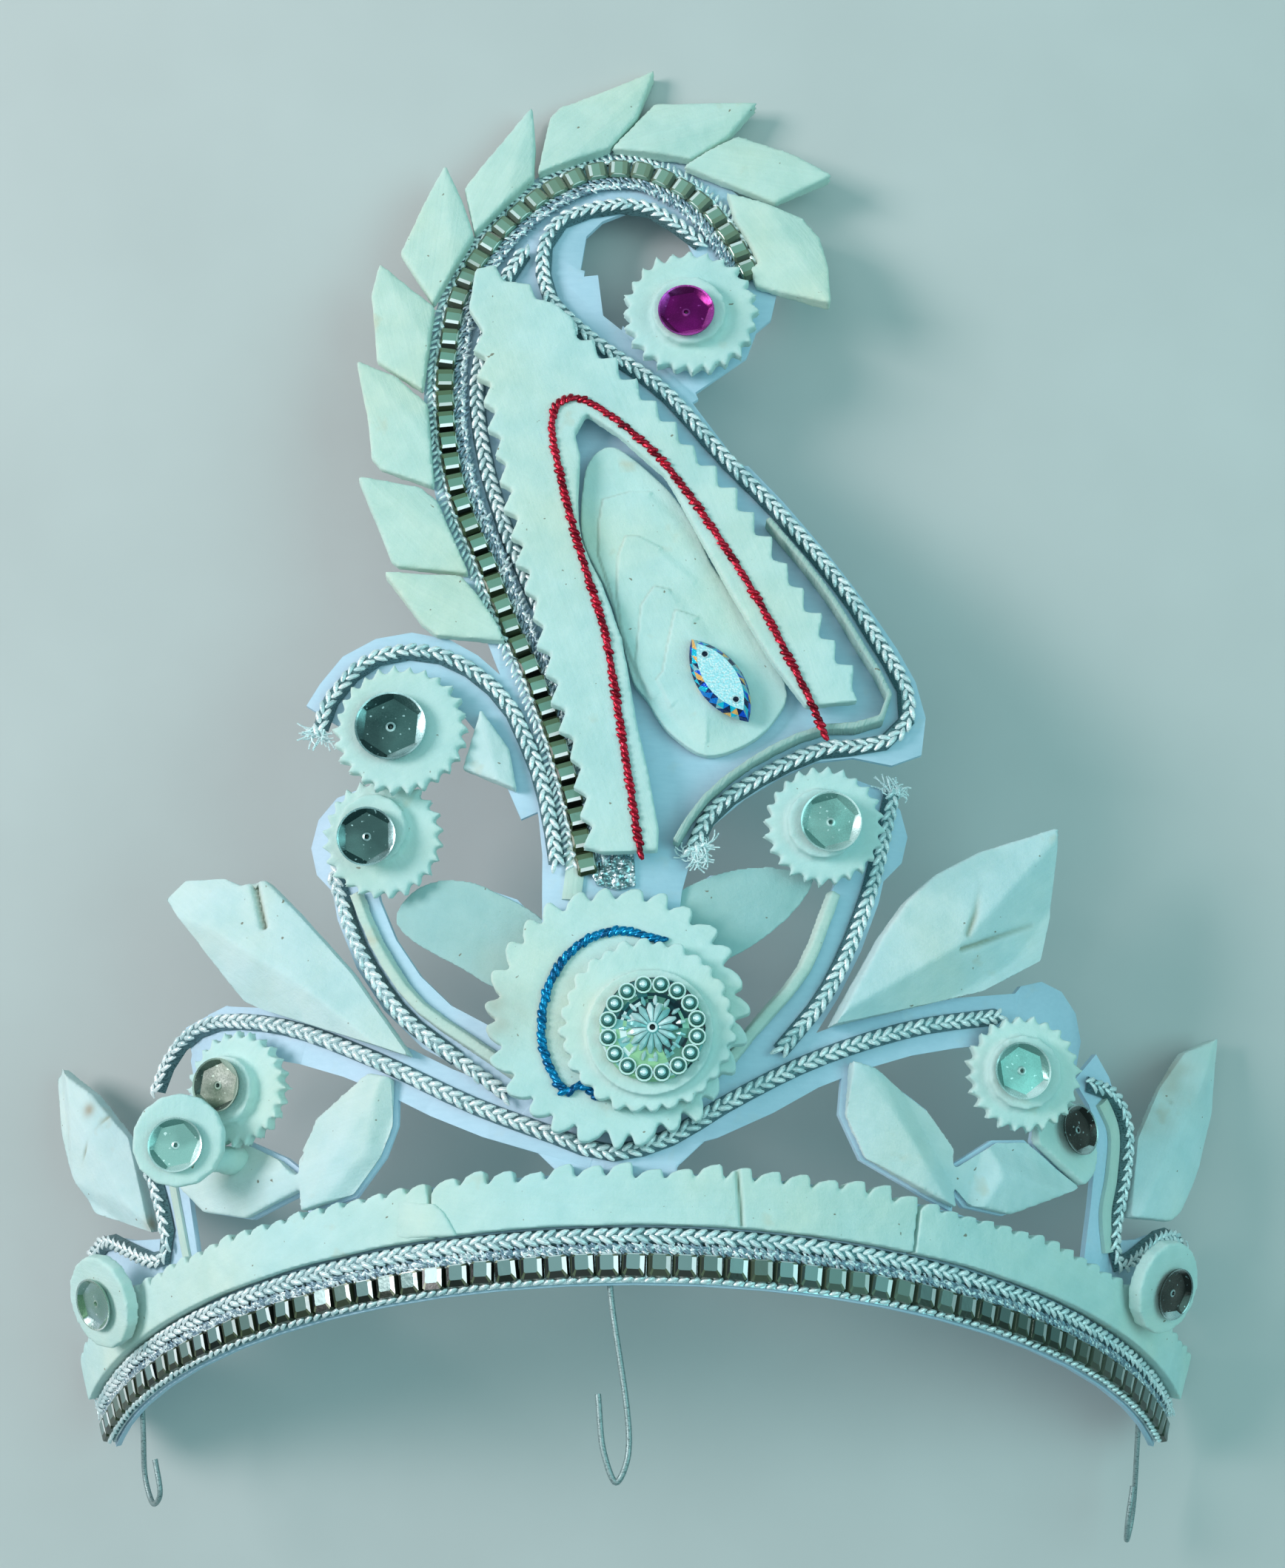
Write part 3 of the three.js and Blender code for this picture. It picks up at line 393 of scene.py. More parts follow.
def stone_finish(name, stops, pebble=0.0, fade=None):
    """Foil-backed glass: tone picks a facet's colour, from painted shade up to a painted white highlight;
    some stones are duller, and they fade along an axis.
    """
    f = Finish(name, 0.16, 0.15, Coat_Weight=0.1, Coat_Roughness=0.05, Specular_IOR_Level=0.3)
    tone = f.attribute("tone")
    tint = f.ramp(tone, *stops)
    odd = f.level(f.attribute("shade"), 0.5, 1.0, 0, 0.55)
    tint = f.blend(odd, tint, stops[1][1])
    if fade:
        axis, low, high, most, end = fade
        tint = f.blend(f.level(f.along(axis, low, high), 0, 1, 0, most), tint, end)
    f.bump(f.noise(1.3, 2), 0.1, 0.2)
    if pebble:
        bumps = f.cells(pebble)
        on_table = f.maths("MULTIPLY", f.level(tone, 0.85, 1.0), f.level(bumps, 0.15, 0.6))
        tint = f.blend(on_table, tint, (0.50, 0.88, 0.95))
        f.bump(bumps, 0.6, 0.3)
    f.colour(tint)
    return f.material


PITH = pith_finish("carved_pith", (1, 1, 1))
FLAME_PITH = pith_finish("cream_pith", (1.0, 0.98, 0.92), 0.08)
LEAF_PITH = pith_finish("white_pith", (1.06, 1.0, 1.05))
# The hub leaves' pith, darkened and cooled as painted shade
SHADED_SHEET_PITH = pith_finish("sheet_pith_painted_shade", (0.66, 0.76, 0.78))
TAN_PITH = pith_finish("tan_pith", (0.98, 0.92, 0.87), 0.1)
# The rim's pith darkened and greyed as painted shade, with strong fibres
SHADED_RIM_PITH = pith_finish("rim_pith_painted_shade", (0.68, 0.70, 0.68), 0.25)
CARD_WHITE = card_finish()
# Silver plait: the strands left pure white are painted glints
BRAID_THREAD = thread_finish("silver_braid", (0.42, 0.62, 0.65), (1.0, 1.0, 1.0), 0.26, 0.2)
# The braid's core, near black: painted shade in the gaps between strands
BRAID_CORE_PAINTED_SHADE = thread_finish("braid_core_painted_shade", (0.012, 0.035, 0.04), (0.14, 0.24, 0.26), 0.45)
STITCH = thread_finish("silver_stitch", (0.50, 0.68, 0.70), (0.94, 1.0, 1.0), 0.28, 0.3)
# Most web strands dulled, the few left near white as painted glints
WEB = thread_finish("silver_web", (0.12, 0.22, 0.30), (0.95, 1.0, 1.0), 0.28, 0.3, (0.1, 0.55, 0.85))
RIBBON_FOIL = foil_finish("trim_foil", (0.26, 0.36, 0.38), (0.62, 0.74, 0.77), 0.3, 0.6)
GREEN_FOIL = sequin_finish("green_foil", (0.14, 0.28, 0.25), (0.28, 0.50, 0.45), (0.85, 1.0, 0.97), 0.35)
OLIVE_FOIL = sequin_finish("olive_foil", (0.04, 0.06, 0.05), (0.13, 0.17, 0.12), (0.5, 0.6, 0.5), 0.15)
DARK_FOIL = sequin_finish("dark_foil", (0.015, 0.04, 0.04), (0.07, 0.15, 0.14), (0.75, 1.0, 1.0))
BROWN_FOIL = sequin_finish("brown_foil", (0.02, 0.018, 0.015), (0.09, 0.085, 0.075), (0.6, 0.72, 0.72))
SILVER_FOIL = sequin_finish("silver_foil", (0.16, 0.30, 0.16), (0.50, 0.62, 0.70), (1.0, 1.0, 1.0))
MAGENTA_FOIL = sequin_finish("magenta_foil", (0.10, 0.0, 0.06), (0.30, 0.005, 0.20), (0.85, 0.12, 0.66))
BAND_STONE = stone_finish("clear_baguette", ((0, (0.004, 0.006, 0.006)), (0.3, (0.09, 0.11, 0.06)),
                                             (0.6, (0.22, 0.33, 0.33)), (1, (1.0, 1.0, 1.0))),
                           fade=("X", 0.0, 0.07, 0.6, (0.05, 0.06, 0.045)))
PAISLEY_STONE = stone_finish("olive_baguette", ((0, (0.004, 0.006, 0.004)), (0.3, (0.11, 0.15, 0.07)),
                                                (0.6, (0.22, 0.42, 0.34)), (1, (1.0, 1.0, 1.0))),
                              fade=("Y", 0.07, 0.12, 0.4, (0.40, 0.48, 0.38)))
BUTTON_GLASS = stone_finish("button_glass", ((0, (0.005, 0.012, 0.02)), (0.2, (0.03, 0.15, 0.16)),
                                             (0.4, (0.34, 0.62, 0.34)), (0.6, (0.22, 0.52, 0.52)),
                                             (1, (0.92, 1.0, 1.0))))
SEWN_STONE = stone_finish("sewn_stone", ((0, (0.004, 0.01, 0.03)), (0.25, (0.0, 0.09, 0.72)),
                                         (0.45, (0.0, 0.58, 0.80)), (0.62, (1.0, 0.50, 0.14)),
                                         (0.8, (0.55, 0.75, 0.8)), (1, (0.92, 1.0, 1.0))), 2.4)
RED_TINSEL = thread_finish("red_tinsel", (0.12, 0.0, 0.008), (0.72, 0.02, 0.05), 0.2, 0.7, (0.3, 1.0, 0.8))
BLUE_TINSEL = thread_finish("blue_tinsel", (0.0, 0.02, 0.10), (0.0, 0.28, 0.58), 0.22, 0.6, (0.3, 1.0, 0.7))
HOOK_WIRE = thread_finish("hook_wire", (0.10, 0.13, 0.13), (0.34, 0.42, 0.42), 0.42)
FRAYED = thread_finish("frayed_thread", (0.40, 0.56, 0.62), (0.92, 1.0, 1.0), 0.4, 0.2)


# Geometry Nodes: links along a path, and a round wire along a path

def start_tree(name, inputs):
    tree = bpy.data.node_groups.new(name, "GeometryNodeTree")
    for label, kind in [("Path", "Geometry"), *inputs]:
        tree.interface.new_socket(label, in_out="INPUT", socket_type="NodeSocket" + kind)
    tree.interface.new_socket("Made", in_out="OUTPUT", socket_type="NodeSocketGeometry")
    given = tree.nodes.new("NodeGroupInput").outputs
    curve = add_node(tree, "GeometryNodeMeshToCurve", {"Mesh": given["Path"]})
    return tree, given, curve.outputs["Curve"]


def end_tree(tree, made, finish):
    real = add_node(tree, "GeometryNodeRealizeInstances", {0: made})
    paint = add_node(tree, "GeometryNodeSetMaterial", {"Geometry": real.outputs[0], "Material": finish})
    add_node(tree, "NodeGroupOutput", {0: paint.outputs["Geometry"]})
    return tree


def links_tree():
    """One link at each pitch along the path, square to the surface, a little uneven."""
    sizes = [("Link", "Object"), ("Pitch", "Float"), ("Size", "Float"), ("Wobble", "Float"),
             ("Seed", "Int"), ("Finish", "Material")]
    tree, given, curve = start_tree("links_along_path", sizes)
    spaced = add_node(tree, "GeometryNodeResampleCurve", {"Curve": curve, "Length": given["Pitch"]},
                      mode="LENGTH")
    up = add_node(tree, "GeometryNodeInputNamedAttribute", {"Name": "surface_up"}, data_type="FLOAT_VECTOR")
    run = add_node(tree, "GeometryNodeInputTangent")
    axes = {"Primary Axis": up.outputs["Attribute"], "Secondary Axis": run.outputs["Tangent"]}
    square = add_node(tree, "FunctionNodeAxesToRotation", axes, primary_axis="Z", secondary_axis="X")
    least = add_node(tree, "ShaderNodeMath", {0: given["Wobble"], 1: -1}, operation="MULTIPLY")
    spread = {0: least.outputs[0], 1: given["Wobble"], "Seed": given["Seed"]}
    jitter = add_node(tree, "FunctionNodeRandomValue", spread, data_type="FLOAT_VECTOR")
    shake = add_node(tree, "FunctionNodeEulerToRotation", {0: jitter.outputs[0]})
    turns = {0: square.outputs[0], 1: shake.outputs[0]}
    turned = add_node(tree, "FunctionNodeRotateRotation", turns, rotation_space="LOCAL")
    shape = add_node(tree, "GeometryNodeObjectInfo", {"Object": given["Link"]})
    placed = add_node(tree, "GeometryNodeInstanceOnPoints", {
        "Points": spaced.outputs["Curve"], "Instance": shape.outputs["Geometry"],
        "Rotation": turned.outputs[0], "Scale": given["Size"]})
    chance = add_node(tree, "FunctionNodeRandomValue", {"Seed": given["Seed"]}, data_type="FLOAT")
    mark = {"Geometry": placed.outputs["Instances"], "Name": "shade", "Value": chance.outputs[1]}
    marked = add_node(tree, "GeometryNodeStoreNamedAttribute", mark, data_type="FLOAT", domain="INSTANCE")
    return end_tree(tree, marked.outputs["Geometry"], given["Finish"])


def wire_tree():
    """A round wire along every line of the path."""
    sizes = [("Radius", "Float"), ("Sides", "Int"), ("Finish", "Material")]
    tree, given, curve = start_tree("wire_along_path", sizes)
    ring = add_node(tree, "GeometryNodeCurvePrimitiveCircle",
                    {"Radius": given["Radius"], "Resolution": given["Sides"]})
    tube = add_node(tree, "GeometryNodeCurveToMesh",
                    {"Curve": curve, "Profile Curve": ring.outputs["Curve"], "Fill Caps": True})
    return end_tree(tree, tube.outputs["Mesh"], given["Finish"])


LINKS_TREE = links_tree()
WIRE_TREE = wire_tree()


def path_object(lines):
    verts, edges, ups = [], [], []
    for line in lines:
        first = len(verts)
        verts += [tuple(p) for p, _ in line]
        ups += [c for _, up in line for c in up]
        edges += [(i, i + 1) for i in range(first, len(verts) - 1)]
    mesh = bpy.data.meshes.new("path")
    mesh.from_pydata(verts, edges, [])
    mesh.attributes.new("surface_up", "FLOAT_VECTOR", "POINT").data.foreach_set("vector", ups)
    return new_object("path", mesh)


def grown(lines, tree, values):
    obj = path_object(lines)
    modifier = modify(obj, "grow", "NODES", node_group=tree)
    for item in tree.interface.items_tree:
        if item.in_out == "INPUT" and item.name in values:
            modifier[item.identifier] = values[item.name]
    return baked(obj)


def links(name, lines, shape, pitch, finish, size, wobble, seed):
    """A kept piece of one shape repeated along lines."""
    values = {"Link": shape, "Pitch": pitch * MM, "Size": size, "Wobble": wobble, "Seed": seed,
              "Finish": finish}
    keep(name, grown(lines, LINKS_TREE, values), None, ())


def wire(lines, radius, sides, finish):
    mesh = grown(lines, WIRE_TREE, {"Radius": radius * MM, "Sides": sides, "Finish": finish})
    return smooth_shaded(outward(mesh), 50)


# Small shapes that repeat

def tube(spine, radii, sides, flat):
    """A capped tube through a few points; flat squeezes it upright."""
    verts = []
    for i, (p, r) in enumerate(zip(spine, radii)):
        run = Vector(spine[min(i + 1, len(spine) - 1)]) - Vector(spine[max(i - 1, 0)])
        run.normalize()
        side = Vector((0, 0, 1)).cross(run).normalized()
        top = run.cross(side)
        for k in range(sides):
            a = 2 * math.pi * k / sides
            verts.append((Vector(p) + side * r * math.cos(a) + top * r * flat * math.sin(a)) * MM)
    ends = [tuple(reversed(range(sides))), tuple(range(len(verts) - sides, len(verts)))]
    return verts, ring_faces(len(spine), sides) + ends


def joined(parts):
    verts, faces = [], []
    for more, loops in parts:
        start = len(verts)
        verts += more
        faces += [tuple(start + i for i in loop) for loop in loops]
    return verts, faces


def link_shape(name, parts):
    return new_object(name, smooth_shaded(outward(mesh_from(name, *joined(parts))), 60))


def plait_link():
    """Two rows of slanted strands, half a pitch apart."""
    strands = []
    for side, shift in ((1, -0.52), (-1, 0.52)):
        spine = [(shift + 1.3, 1.15 * side, -0.35), (shift + 0.6, 0.9 * side, 0.1),
                 (shift - 0.45, 0.35 * side, 0.2), (shift - 1.25, -0.15 * side, -0.2)]
        strands.append(tube(spine, (0.22, 0.46, 0.46, 0.2), 6, 0.75))
    return link_shape("plait_link", strands)


def twist_link(lean, length, radius):
    """One slanted strand of a twisted cord."""
    dx, dy = length / 2 * math.cos(lean), length / 2 * math.sin(lean)
    spine = [(-dx, -dy, -0.2), (-dx / 2, -dy / 2, 0.1), (dx / 2, dy / 2, 0.1), (dx, dy, -0.2)]
    return link_shape("twist_link", [tube(spine, (0.5 * radius, radius, radius, 0.5 * radius), 6, 0.9)])


# Each cut's steps from the foot up: height, left and right end along the strip.
# Then the tones of the facets above the girdle on each side, which paint their light: high for a painted
# highlight, low for painted shade.
WIDE_CUT = (((0.0, -2.03, 2.03), (0.4, -2.03, 2.03), (1.36, -1.6, 1.8), (1.4, -1.15, 1.05)),
            {"left": (0.34, 0.0), "right": (0.0, 1.0), "low": (0.12, 0.02), "high": (0.6, 0.85),
             "corner": (0.1, 0.3)})
FINE_CUT = (((0.0, -2.05, 2.05), (0.6, -2.05, 2.05), (1.3, -1.5, 1.5), (1.4, -0.6, 0.9)),
            {"left": (0.0, 0.36), "right": (0.0, 1.0), "low": (0.12, 0.02), "high": (0.6, 0.85),
             "corner": (0.1, 0.3)})
# The upright girdle painted dark as shade; the table a mid tone
GIRDLE_TONE = 0.1
TABLE_TONE = 0.56


def baguette(name, foot, low, high, cut):
    """A step-cut stone: its foot, and its table's lower and upper edge across the strip."""
    tiers, bright = cut
    sides = ["right", "corner", "high", "corner", "left", "corner", "low", "corner"]
    verts = []
    for t, (z, left, right) in enumerate(tiers):
        bottom, top = (foot, high + 0.3) if t < 2 else (foot + 0.25, high + 0.15)
        if t == len(tiers) - 1:
            bottom, top = low, high
        c = 0.1 * (right - left)
        ring = [(right, bottom + c), (right, top - c), (right - c, top), (left + c, top), (left, top - c),
                (left, bottom + c), (left + c, bottom), (right - c, bottom)]
        verts += [Vector((x, y, z)) * MM for x, y in ring]
    faces = ring_faces(len(tiers), 8) + [tuple(range(8 * len(tiers) - 8, 8 * len(tiers)))]
    tones = [GIRDLE_TONE] * 8 + [bright[side][t] for t in range(len(tiers) - 2) for side in sides]
    return new_object(name, mesh_from(name, verts, faces, tones + [TABLE_TONE]))


# Carved pith: copies of the CAD solids with rounded cuts and a hand's unevenness
KNIFE_FLOOR = 0.9
KNIFE_ROUND = 0.35


def flat_space(matrix):
    """To a seat's own millimetres and back."""
    inverse = matrix.inverted()
    return (lambda q: matrix @ q), (lambda p: inverse @ p)


def bent_space():
    """To the flat layout of the bent card and back."""
    to_crown = CROWN.inverted()
    axis = Vector((0, COS, -SIN))
    middle = Vector((0, SIN, COS))

    def unrolled(p):
        q = to_crown @ p
        q.y += CONE_RADIUS
        along = q.dot(axis)
        spoke = q - axis * along
        reach = along * COS + spoke.length * SIN
        angle = math.atan2(spoke.x, spoke.dot(middle)) * SIN
        height = spoke.length * COS - along * SIN
        return Vector((reach * math.sin(angle), reach * math.cos(angle) - CONE_RADIUS, height))

    return (lambda q: on_card(*q)[0]), unrolled


def soft_min(a, b):
    near = max(KNIFE_ROUND - abs(a - b), 0) / KNIFE_ROUND
    return min(a, b) - near * near * KNIFE_ROUND / 4


def knife(mesh, space, cuts):
    """Takes off what stands above planes; each starts at a line and falls to the line's left."""
    forward, backward = space
    for v in mesh.vertices:
        q = backward(v.co)
        top = q.z
        for ax, ay, bx, by, height, slope, low, high in cuts:
            if low < q.x < high:
                left = ((bx - ax) * (q.y - ay) - (by - ay) * (q.x - ax)) / math.hypot(bx - ax, by - ay)
                top = soft_min(top, height - slope * left)
        top = max(top, KNIFE_FLOOR)
        if top < q.z:
            q.z = top
            v.co = forward(q)
    mesh.update()


# A crack this deep gets its full painted shade
FULL_CRACK = 0.3
# How far a hand's cut wanders
HAND = 0.16


def uneven(mesh, wobble, cracks=(), stains=()):
    """A hand's unevenness, with cracks cut in; two attributes tell the material where to paint shade in the
    cracks and where the stains are.
    """
    normals = [Vector(v.normal) for v in mesh.vertices]
    groove_shades = [0.0] * len(normals)
    browned = [0.0] * len(normals)
    for v, n in zip(mesh.vertices, normals):
        p = v.co / MM
        push = wobble * (0.9 * noise.noise(p * 0.11) + 0.4 * noise.noise(p * 0.42 + Vector((7, 3, 1))))
        for line, width, depth in cracks:
            away = min(distance_to(v.co, a, b) for a, b in zip(line, line[1:])) / MM
            bite = math.exp(-((away / width) ** 2))
            push -= depth * bite
            groove_shades[v.index] = max(groove_shades[v.index], bite * min(1.0, depth / FULL_CRACK))
        for middle, radius, strength in stains:
            away = (v.co - middle).length / MM / radius
            blot = strength * math.exp(-away * away) * (1 + 0.7 * noise.noise(p * 0.35))
            browned[v.index] = max(browned[v.index], blot)
        v.co += n * push * MM
    for name, values in (("groove_shade", groove_shades), ("stain", browned), ("across", grain_lines(mesh))):
        mesh.attributes.new(name, "FLOAT", "POINT").data.foreach_set("value", values)


def resize(mesh, node):
    """Lets a piece out a little in the paisley's plane, where the photo shows it touching the next."""
    if node in RESIZED:
        grow, shift = RESIZED[node]
        middle = CROWN.inverted() @ (sum((v.co for v in mesh.vertices), Vector()) / len(mesh.vertices))
        there = Matrix.Translation(middle + Vector(shift)) @ Matrix.Diagonal((grow, grow, 1, 1))
        mesh.transform(CROWN @ there @ Matrix.Translation(-middle) @ CROWN.inverted())


# Below and above the paisley's card
CUTTER_REACH = (-6, 8)


def trim(block, cuts):
    """Cuts outlines on the paisley's card out of a block, with cutters that stay until it is baked."""
    cutters = []
    for outline in cuts:
        solid = outward(mesh_from("cutter", *sheet(outline, on_paisley, *CUTTER_REACH)))
        cutters.append(new_object("cutter", solid))
        modify(block, "cut", "BOOLEAN", operation="DIFFERENCE", solver="EXACT", object=cutters[-1])
    return cutters


def rounded(block, voxel, soften, helpers=()):
    """A block cut finely and softened."""
    modify(block, "fine", "REMESH", mode="VOXEL", voxel_size=voxel * MM)
    if soften:
        modify(block, "round_off", "SMOOTH", factor=0.5, iterations=soften)
    return baked(block, helpers)


PITH_VOXEL = 0.45


def carved(node, voxel=PITH_VOXEL, soften=1, wobble=HAND, form=None, cuts=()):
    """A copy of a CAD solid as a piece cut by hand."""
    block = block_of(form or merged(node))
    mesh = rounded(block, voxel, soften, trim(block, cuts))
    resize(mesh, node)
    if node in CUTS:
        knife(mesh, *CUTS[node])
    finished(node, mesh, wobble)


def finished(node, mesh, wobble=HAND):
    uneven(mesh, wobble, CRACKS.get(node, ()), STAINS.get(node, ()))
    keep("carved_" + node, smooth_shaded(mesh), pith_of(node), [node])


def added(name, mesh, finish):
    """A piece of pith that the CAD has no node for."""
    uneven(mesh, 0.1)
    keep(name, smooth_shaded(mesh), finish, ())


def pith_of(node):
    """Flames are creamier, buds and leaves whiter, ribs tanned with age, and the rim darker and greyer as
    painted shade.
    """
    if node.startswith("flame"):
        return FLAME_PITH
    if "leaf" in node or "bud" in node:
        return LEAF_PITH
    return {"scroll_rib": TAN_PITH, "paisley_rim": SHADED_RIM_PITH}.get(node, PITH)


def grain_lines(mesh):
    """How far each point is across the piece's longest way, in millimetres; the fibres run that way."""
    points = np.array([v.co for v in mesh.vertices]) / MM
    points -= points.mean(0)
    return points @ np.linalg.eigh(points.T @ points)[1][:, 1]


def distance_to(p, a, b):
    run = b - a
    t = max(0.0, min(1.0, (p - a).dot(run) / run.length_squared))
    return (p - a - run * t).length


def flat_normal(points):
    normal = np.linalg.svd(points - points.mean(0))[2][2]
    return normal * np.sign(normal[2])


RING_DEPTH = 0.4


def ring_frame(node):
    """A node's highest ring of points: its centre, normal and radius, and the node's lowest place."""
    form = merged(node)
    points = np.array([v.co for v in form.verts])
    form.free()
    normal = flat_normal(points)
    for _ in range(3):
        height = points @ normal
        ring = points[height > height.max() - RING_DEPTH * MM]
        centre = ring.mean(0)
        if len(ring) > 5:
            normal = flat_normal(ring)
    radius = np.linalg.norm(ring - centre, axis=1).mean()
    return Vector(centre), Vector(normal), float(radius), float(height.min())


def facing(centre, normal, spin):
    turn = normal.to_track_quat("Z", "Y").to_matrix().to_4x4()
    return Matrix.Translation(centre) @ turn @ Matrix.Rotation(spin, 4, "Z") @ Matrix.Scale(MM, 4)


SEQUIN_SIDES = 6
FOIL_THICK = 0.12
# Painted highlight and painted shade on the six rim facets, one tone for each side
RIM_FACET_LIGHT = (0.15, 0.75, 1.0, 0.35, 0.05, 0.6)


def sequin_mesh(radius, matrix):
    """A pressed foil sequin: a flat six-sided middle, a turned-up rim of facets and a sewing hole."""
    around = 6 * SEQUIN_SIDES
    flat_part = 0.86
    facet = 2 * math.pi / SEQUIN_SIDES
    # Columns: share of the radius, height and the tone of the ring outside it; the tones paint light and
    # shade: a dark ring at the hole, bright lips and edge, lit and shaded rim facets
    rings = [(0.06, -0.1, 0.1), (0.09, 0.14, 0.9), (0.14, 0.04, 0.5), (0.2, 0.0, 0.5), ("hex", 0.0, "rim"),
             (0.97, 0.8, 0.9), (1.0, 0.9, 0.3), (0.985, 0.7, 0.3)]
    verts = []
    for reach, z, _ in rings:
        for k in range(around):
            a = 2 * math.pi * k / around
            r = reach
            if reach == "hex":
                r = flat_part * math.cos(facet / 2) / math.cos(a % facet - facet / 2)
            verts.append(matrix @ Vector((radius * r * math.cos(a), radius * r * math.sin(a), z)))
    tones = [RIM_FACET_LIGHT[k // SEQUIN_SIDES] if tone == "rim" else tone
             for _, _, tone in rings[:-1] for k in range(around)]
    return mesh_from("sequin", verts, ring_faces(len(rings), around), tones)


def sequin(name, node, finish, spin, nodes):
    centre, normal, radius, _ = ring_frame(node)
    radius *= SEQUIN_GROWTH.get(node, 1.0)
    mesh = sequin_mesh(radius / MM, facing(centre - normal * 1.0 * MM, normal, spin))
    resize(mesh, node)
    obj = new_object("foil", mesh)
    modify(obj, "thick", "SOLIDIFY", thickness=FOIL_THICK * MM, offset=-1)
    keep(name, smooth_shaded(baked(obj), 28), finish, nodes)


BUD_LEFT = seat(-52.4, 48, 1.5, 8)
BUD_RIGHT = seat(52.4, 50, 1.5, -8)
LEAF_LEFT = seat(-103.3, 17.6, 1.2, 18)
LEAF_RIGHT = seat(105, 18, 1.8, -22)
ROSETTE = seat(-2.8, 43.5, 2.6)
ALL = (-200, 200)
LEFT_OUTER = (-200, -57.5)
LEFT_INNER = (-57.5, 200)
RIGHT_INNER = (-200, 57.5)
RIGHT_OUTER = (57.5, 200)

# Knife cuts: a line from x, y to x, y, its height, the fall to its left, and the range of x it keeps to
CUTS = {
    "bud_left": (flat_space(BUD_LEFT), [
        (12.4, -11.6, -22.3, 17.7, 5.4, 0.62, *ALL),
        (-10.5, 20, 4, -6, 5.3, 0.34, *ALL),
        (-8, 26.5, -30, 25.5, 3.6, -0.28, *ALL),
    ]),
    "bud_right": (flat_space(BUD_RIGHT), [
        (16.9, 34.3, 2.2, 6.8, 5.3, 0.46, *ALL),
        (2.2, 6.8, -21, -12.4, 5.0, 0.66, *ALL),
        (-8.4, 14.4, 16.4, 33.0, 4.4, 0.85, *ALL),
    ]),
    "outer_leaf_left": (flat_space(LEAF_LEFT), [
        (-9.5, 3, -6.6, 27, 3.5, 0.75, *ALL),
        (6.3, -8.0, -9, 7.5, 3.1, 0.7, *ALL),
        (-2.6, 22, 4.2, -6, 3.5, 0.42, *ALL),
    ]),
    "outer_leaf_right": (flat_space(LEAF_RIGHT), [
        (-3.5, 0, 3.4, 31, 3.4, 0.5, *ALL),
        (6.0, 31, 4.6, 0, 3.4, 0.5, *ALL),
    ]),
    "leaf_pair_left": (bent_space(), [
        (-42.2, 34, -45.3, 22.7, 3.0, 0.8, *LEFT_INNER),
        (-45.3, 22.7, -56, 11.1, 3.0, 0.8, *LEFT_INNER),
        (-56.6, 13.8, -76, 12.2, 2.8, 0.75, *LEFT_OUTER),
        (-86.8, 18.2, -62, 19.6, 2.9, 0.5, *LEFT_OUTER),
    ]),
    "leaf_pair_right": (bent_space(), [
        (39.8, 35.8, 54.6, 11.8, 3.1, 0.6, *RIGHT_INNER),
        (54.0, 10.0, 38.2, 33.0, 3.1, 0.3, *RIGHT_INNER),
        (60.0, 10.6, 64.7, 21.3, 2.9, 0.6, *RIGHT_OUTER),
        (64.7, 20.5, 82.9, 16.5, 2.9, 0.5, *RIGHT_OUTER),
        (82.0, 15.5, 60.0, 10.8, 2.9, 0.55, *RIGHT_OUTER),
    ]),
}


def line_on(matrix, *points):
    return [matrix @ Vector(p) for p in points]


BAND_CRACK = [on_card(x, y, 3.3)[0] for x, y in ((16.4, 19.5), (16.9, 14.0), (17.2, 9.0))]
# Cracks: a line, its width and its depth; the depth also sets how much painted shade the crack gets
CRACKS = {
    "band_pith_centre": [(BAND_CRACK, 0.26, 0.7)],
    "bud_right": [
        (line_on(BUD_RIGHT, (3.3, 23.2, 4.6), (4.6, 19.4, 5.0), (4.2, 14.2, 5.2), (3.1, 9.9, 5.2)),
         0.5, 0.55),
        (line_on(BUD_RIGHT, (16.5, 15.1, 1.8), (10, 11.4, 3.4), (2.6, 7.1, 5.0)), 0.45, 0.8),
    ],
    "bud_left": [
        (line_on(BUD_LEFT, (-11.4, 26.5, 3.6), (-10.2, 20.0, 4.6), (-9.4, 14.9, 5.0)), 0.5, 1.6),
        (line_on(BUD_LEFT, (-22.3, 17.7, 3.9), (-16, 12.2, 4.6)), 0.4, 0.5),
    ],
    "outer_leaf_left": [
        (line_on(LEAF_LEFT, (2.7, 16.2, 2.4), (-3.3, 13.2, 3.4), (-9.1, 7.5, 3.4)), 0.3, 0.3)],
    "outer_leaf_right": [(line_on(LEAF_RIGHT, (-5, 19.5, 2.0), (-1, 18, 3.0)), 0.35, 0.5)],
}
# Stains: a place, its radius and its strength
STAINS = {
    "outer_leaf_right": [
        (LEAF_RIGHT @ Vector((-2.5, 23, 2.4)), 6, 0.35), (LEAF_RIGHT @ Vector((-4.5, 14, 2.4)), 4, 0.3)],
    "outer_leaf_left": [
        (LEAF_LEFT @ Vector((-2.6, 18, 3)), 1.2, 0.8), (LEAF_LEFT @ Vector((5.6, -7, 2)), 1.5, 0.7)],
    "rosette_disc": [(ROSETTE @ Vector((-20, 0, 3)), 5, 0.35)],
    "leaf_pair_left": [(on_card(-68.6, 12.3, 2.7)[0], 0.7, 0.9)],
}

# Pieces let out in the paisley's plane: the growth and the shift
RESIZED = {f"flame_{k}": (1.075, (0, 0, 0)) for k in range(1, 11)}
RESIZED["disc_curl"] = (1.1, (-0.3, 1.5, 0.4))
RESIZED["sequin_curl"] = (1.0, (-0.3, -0.6, 0.4))

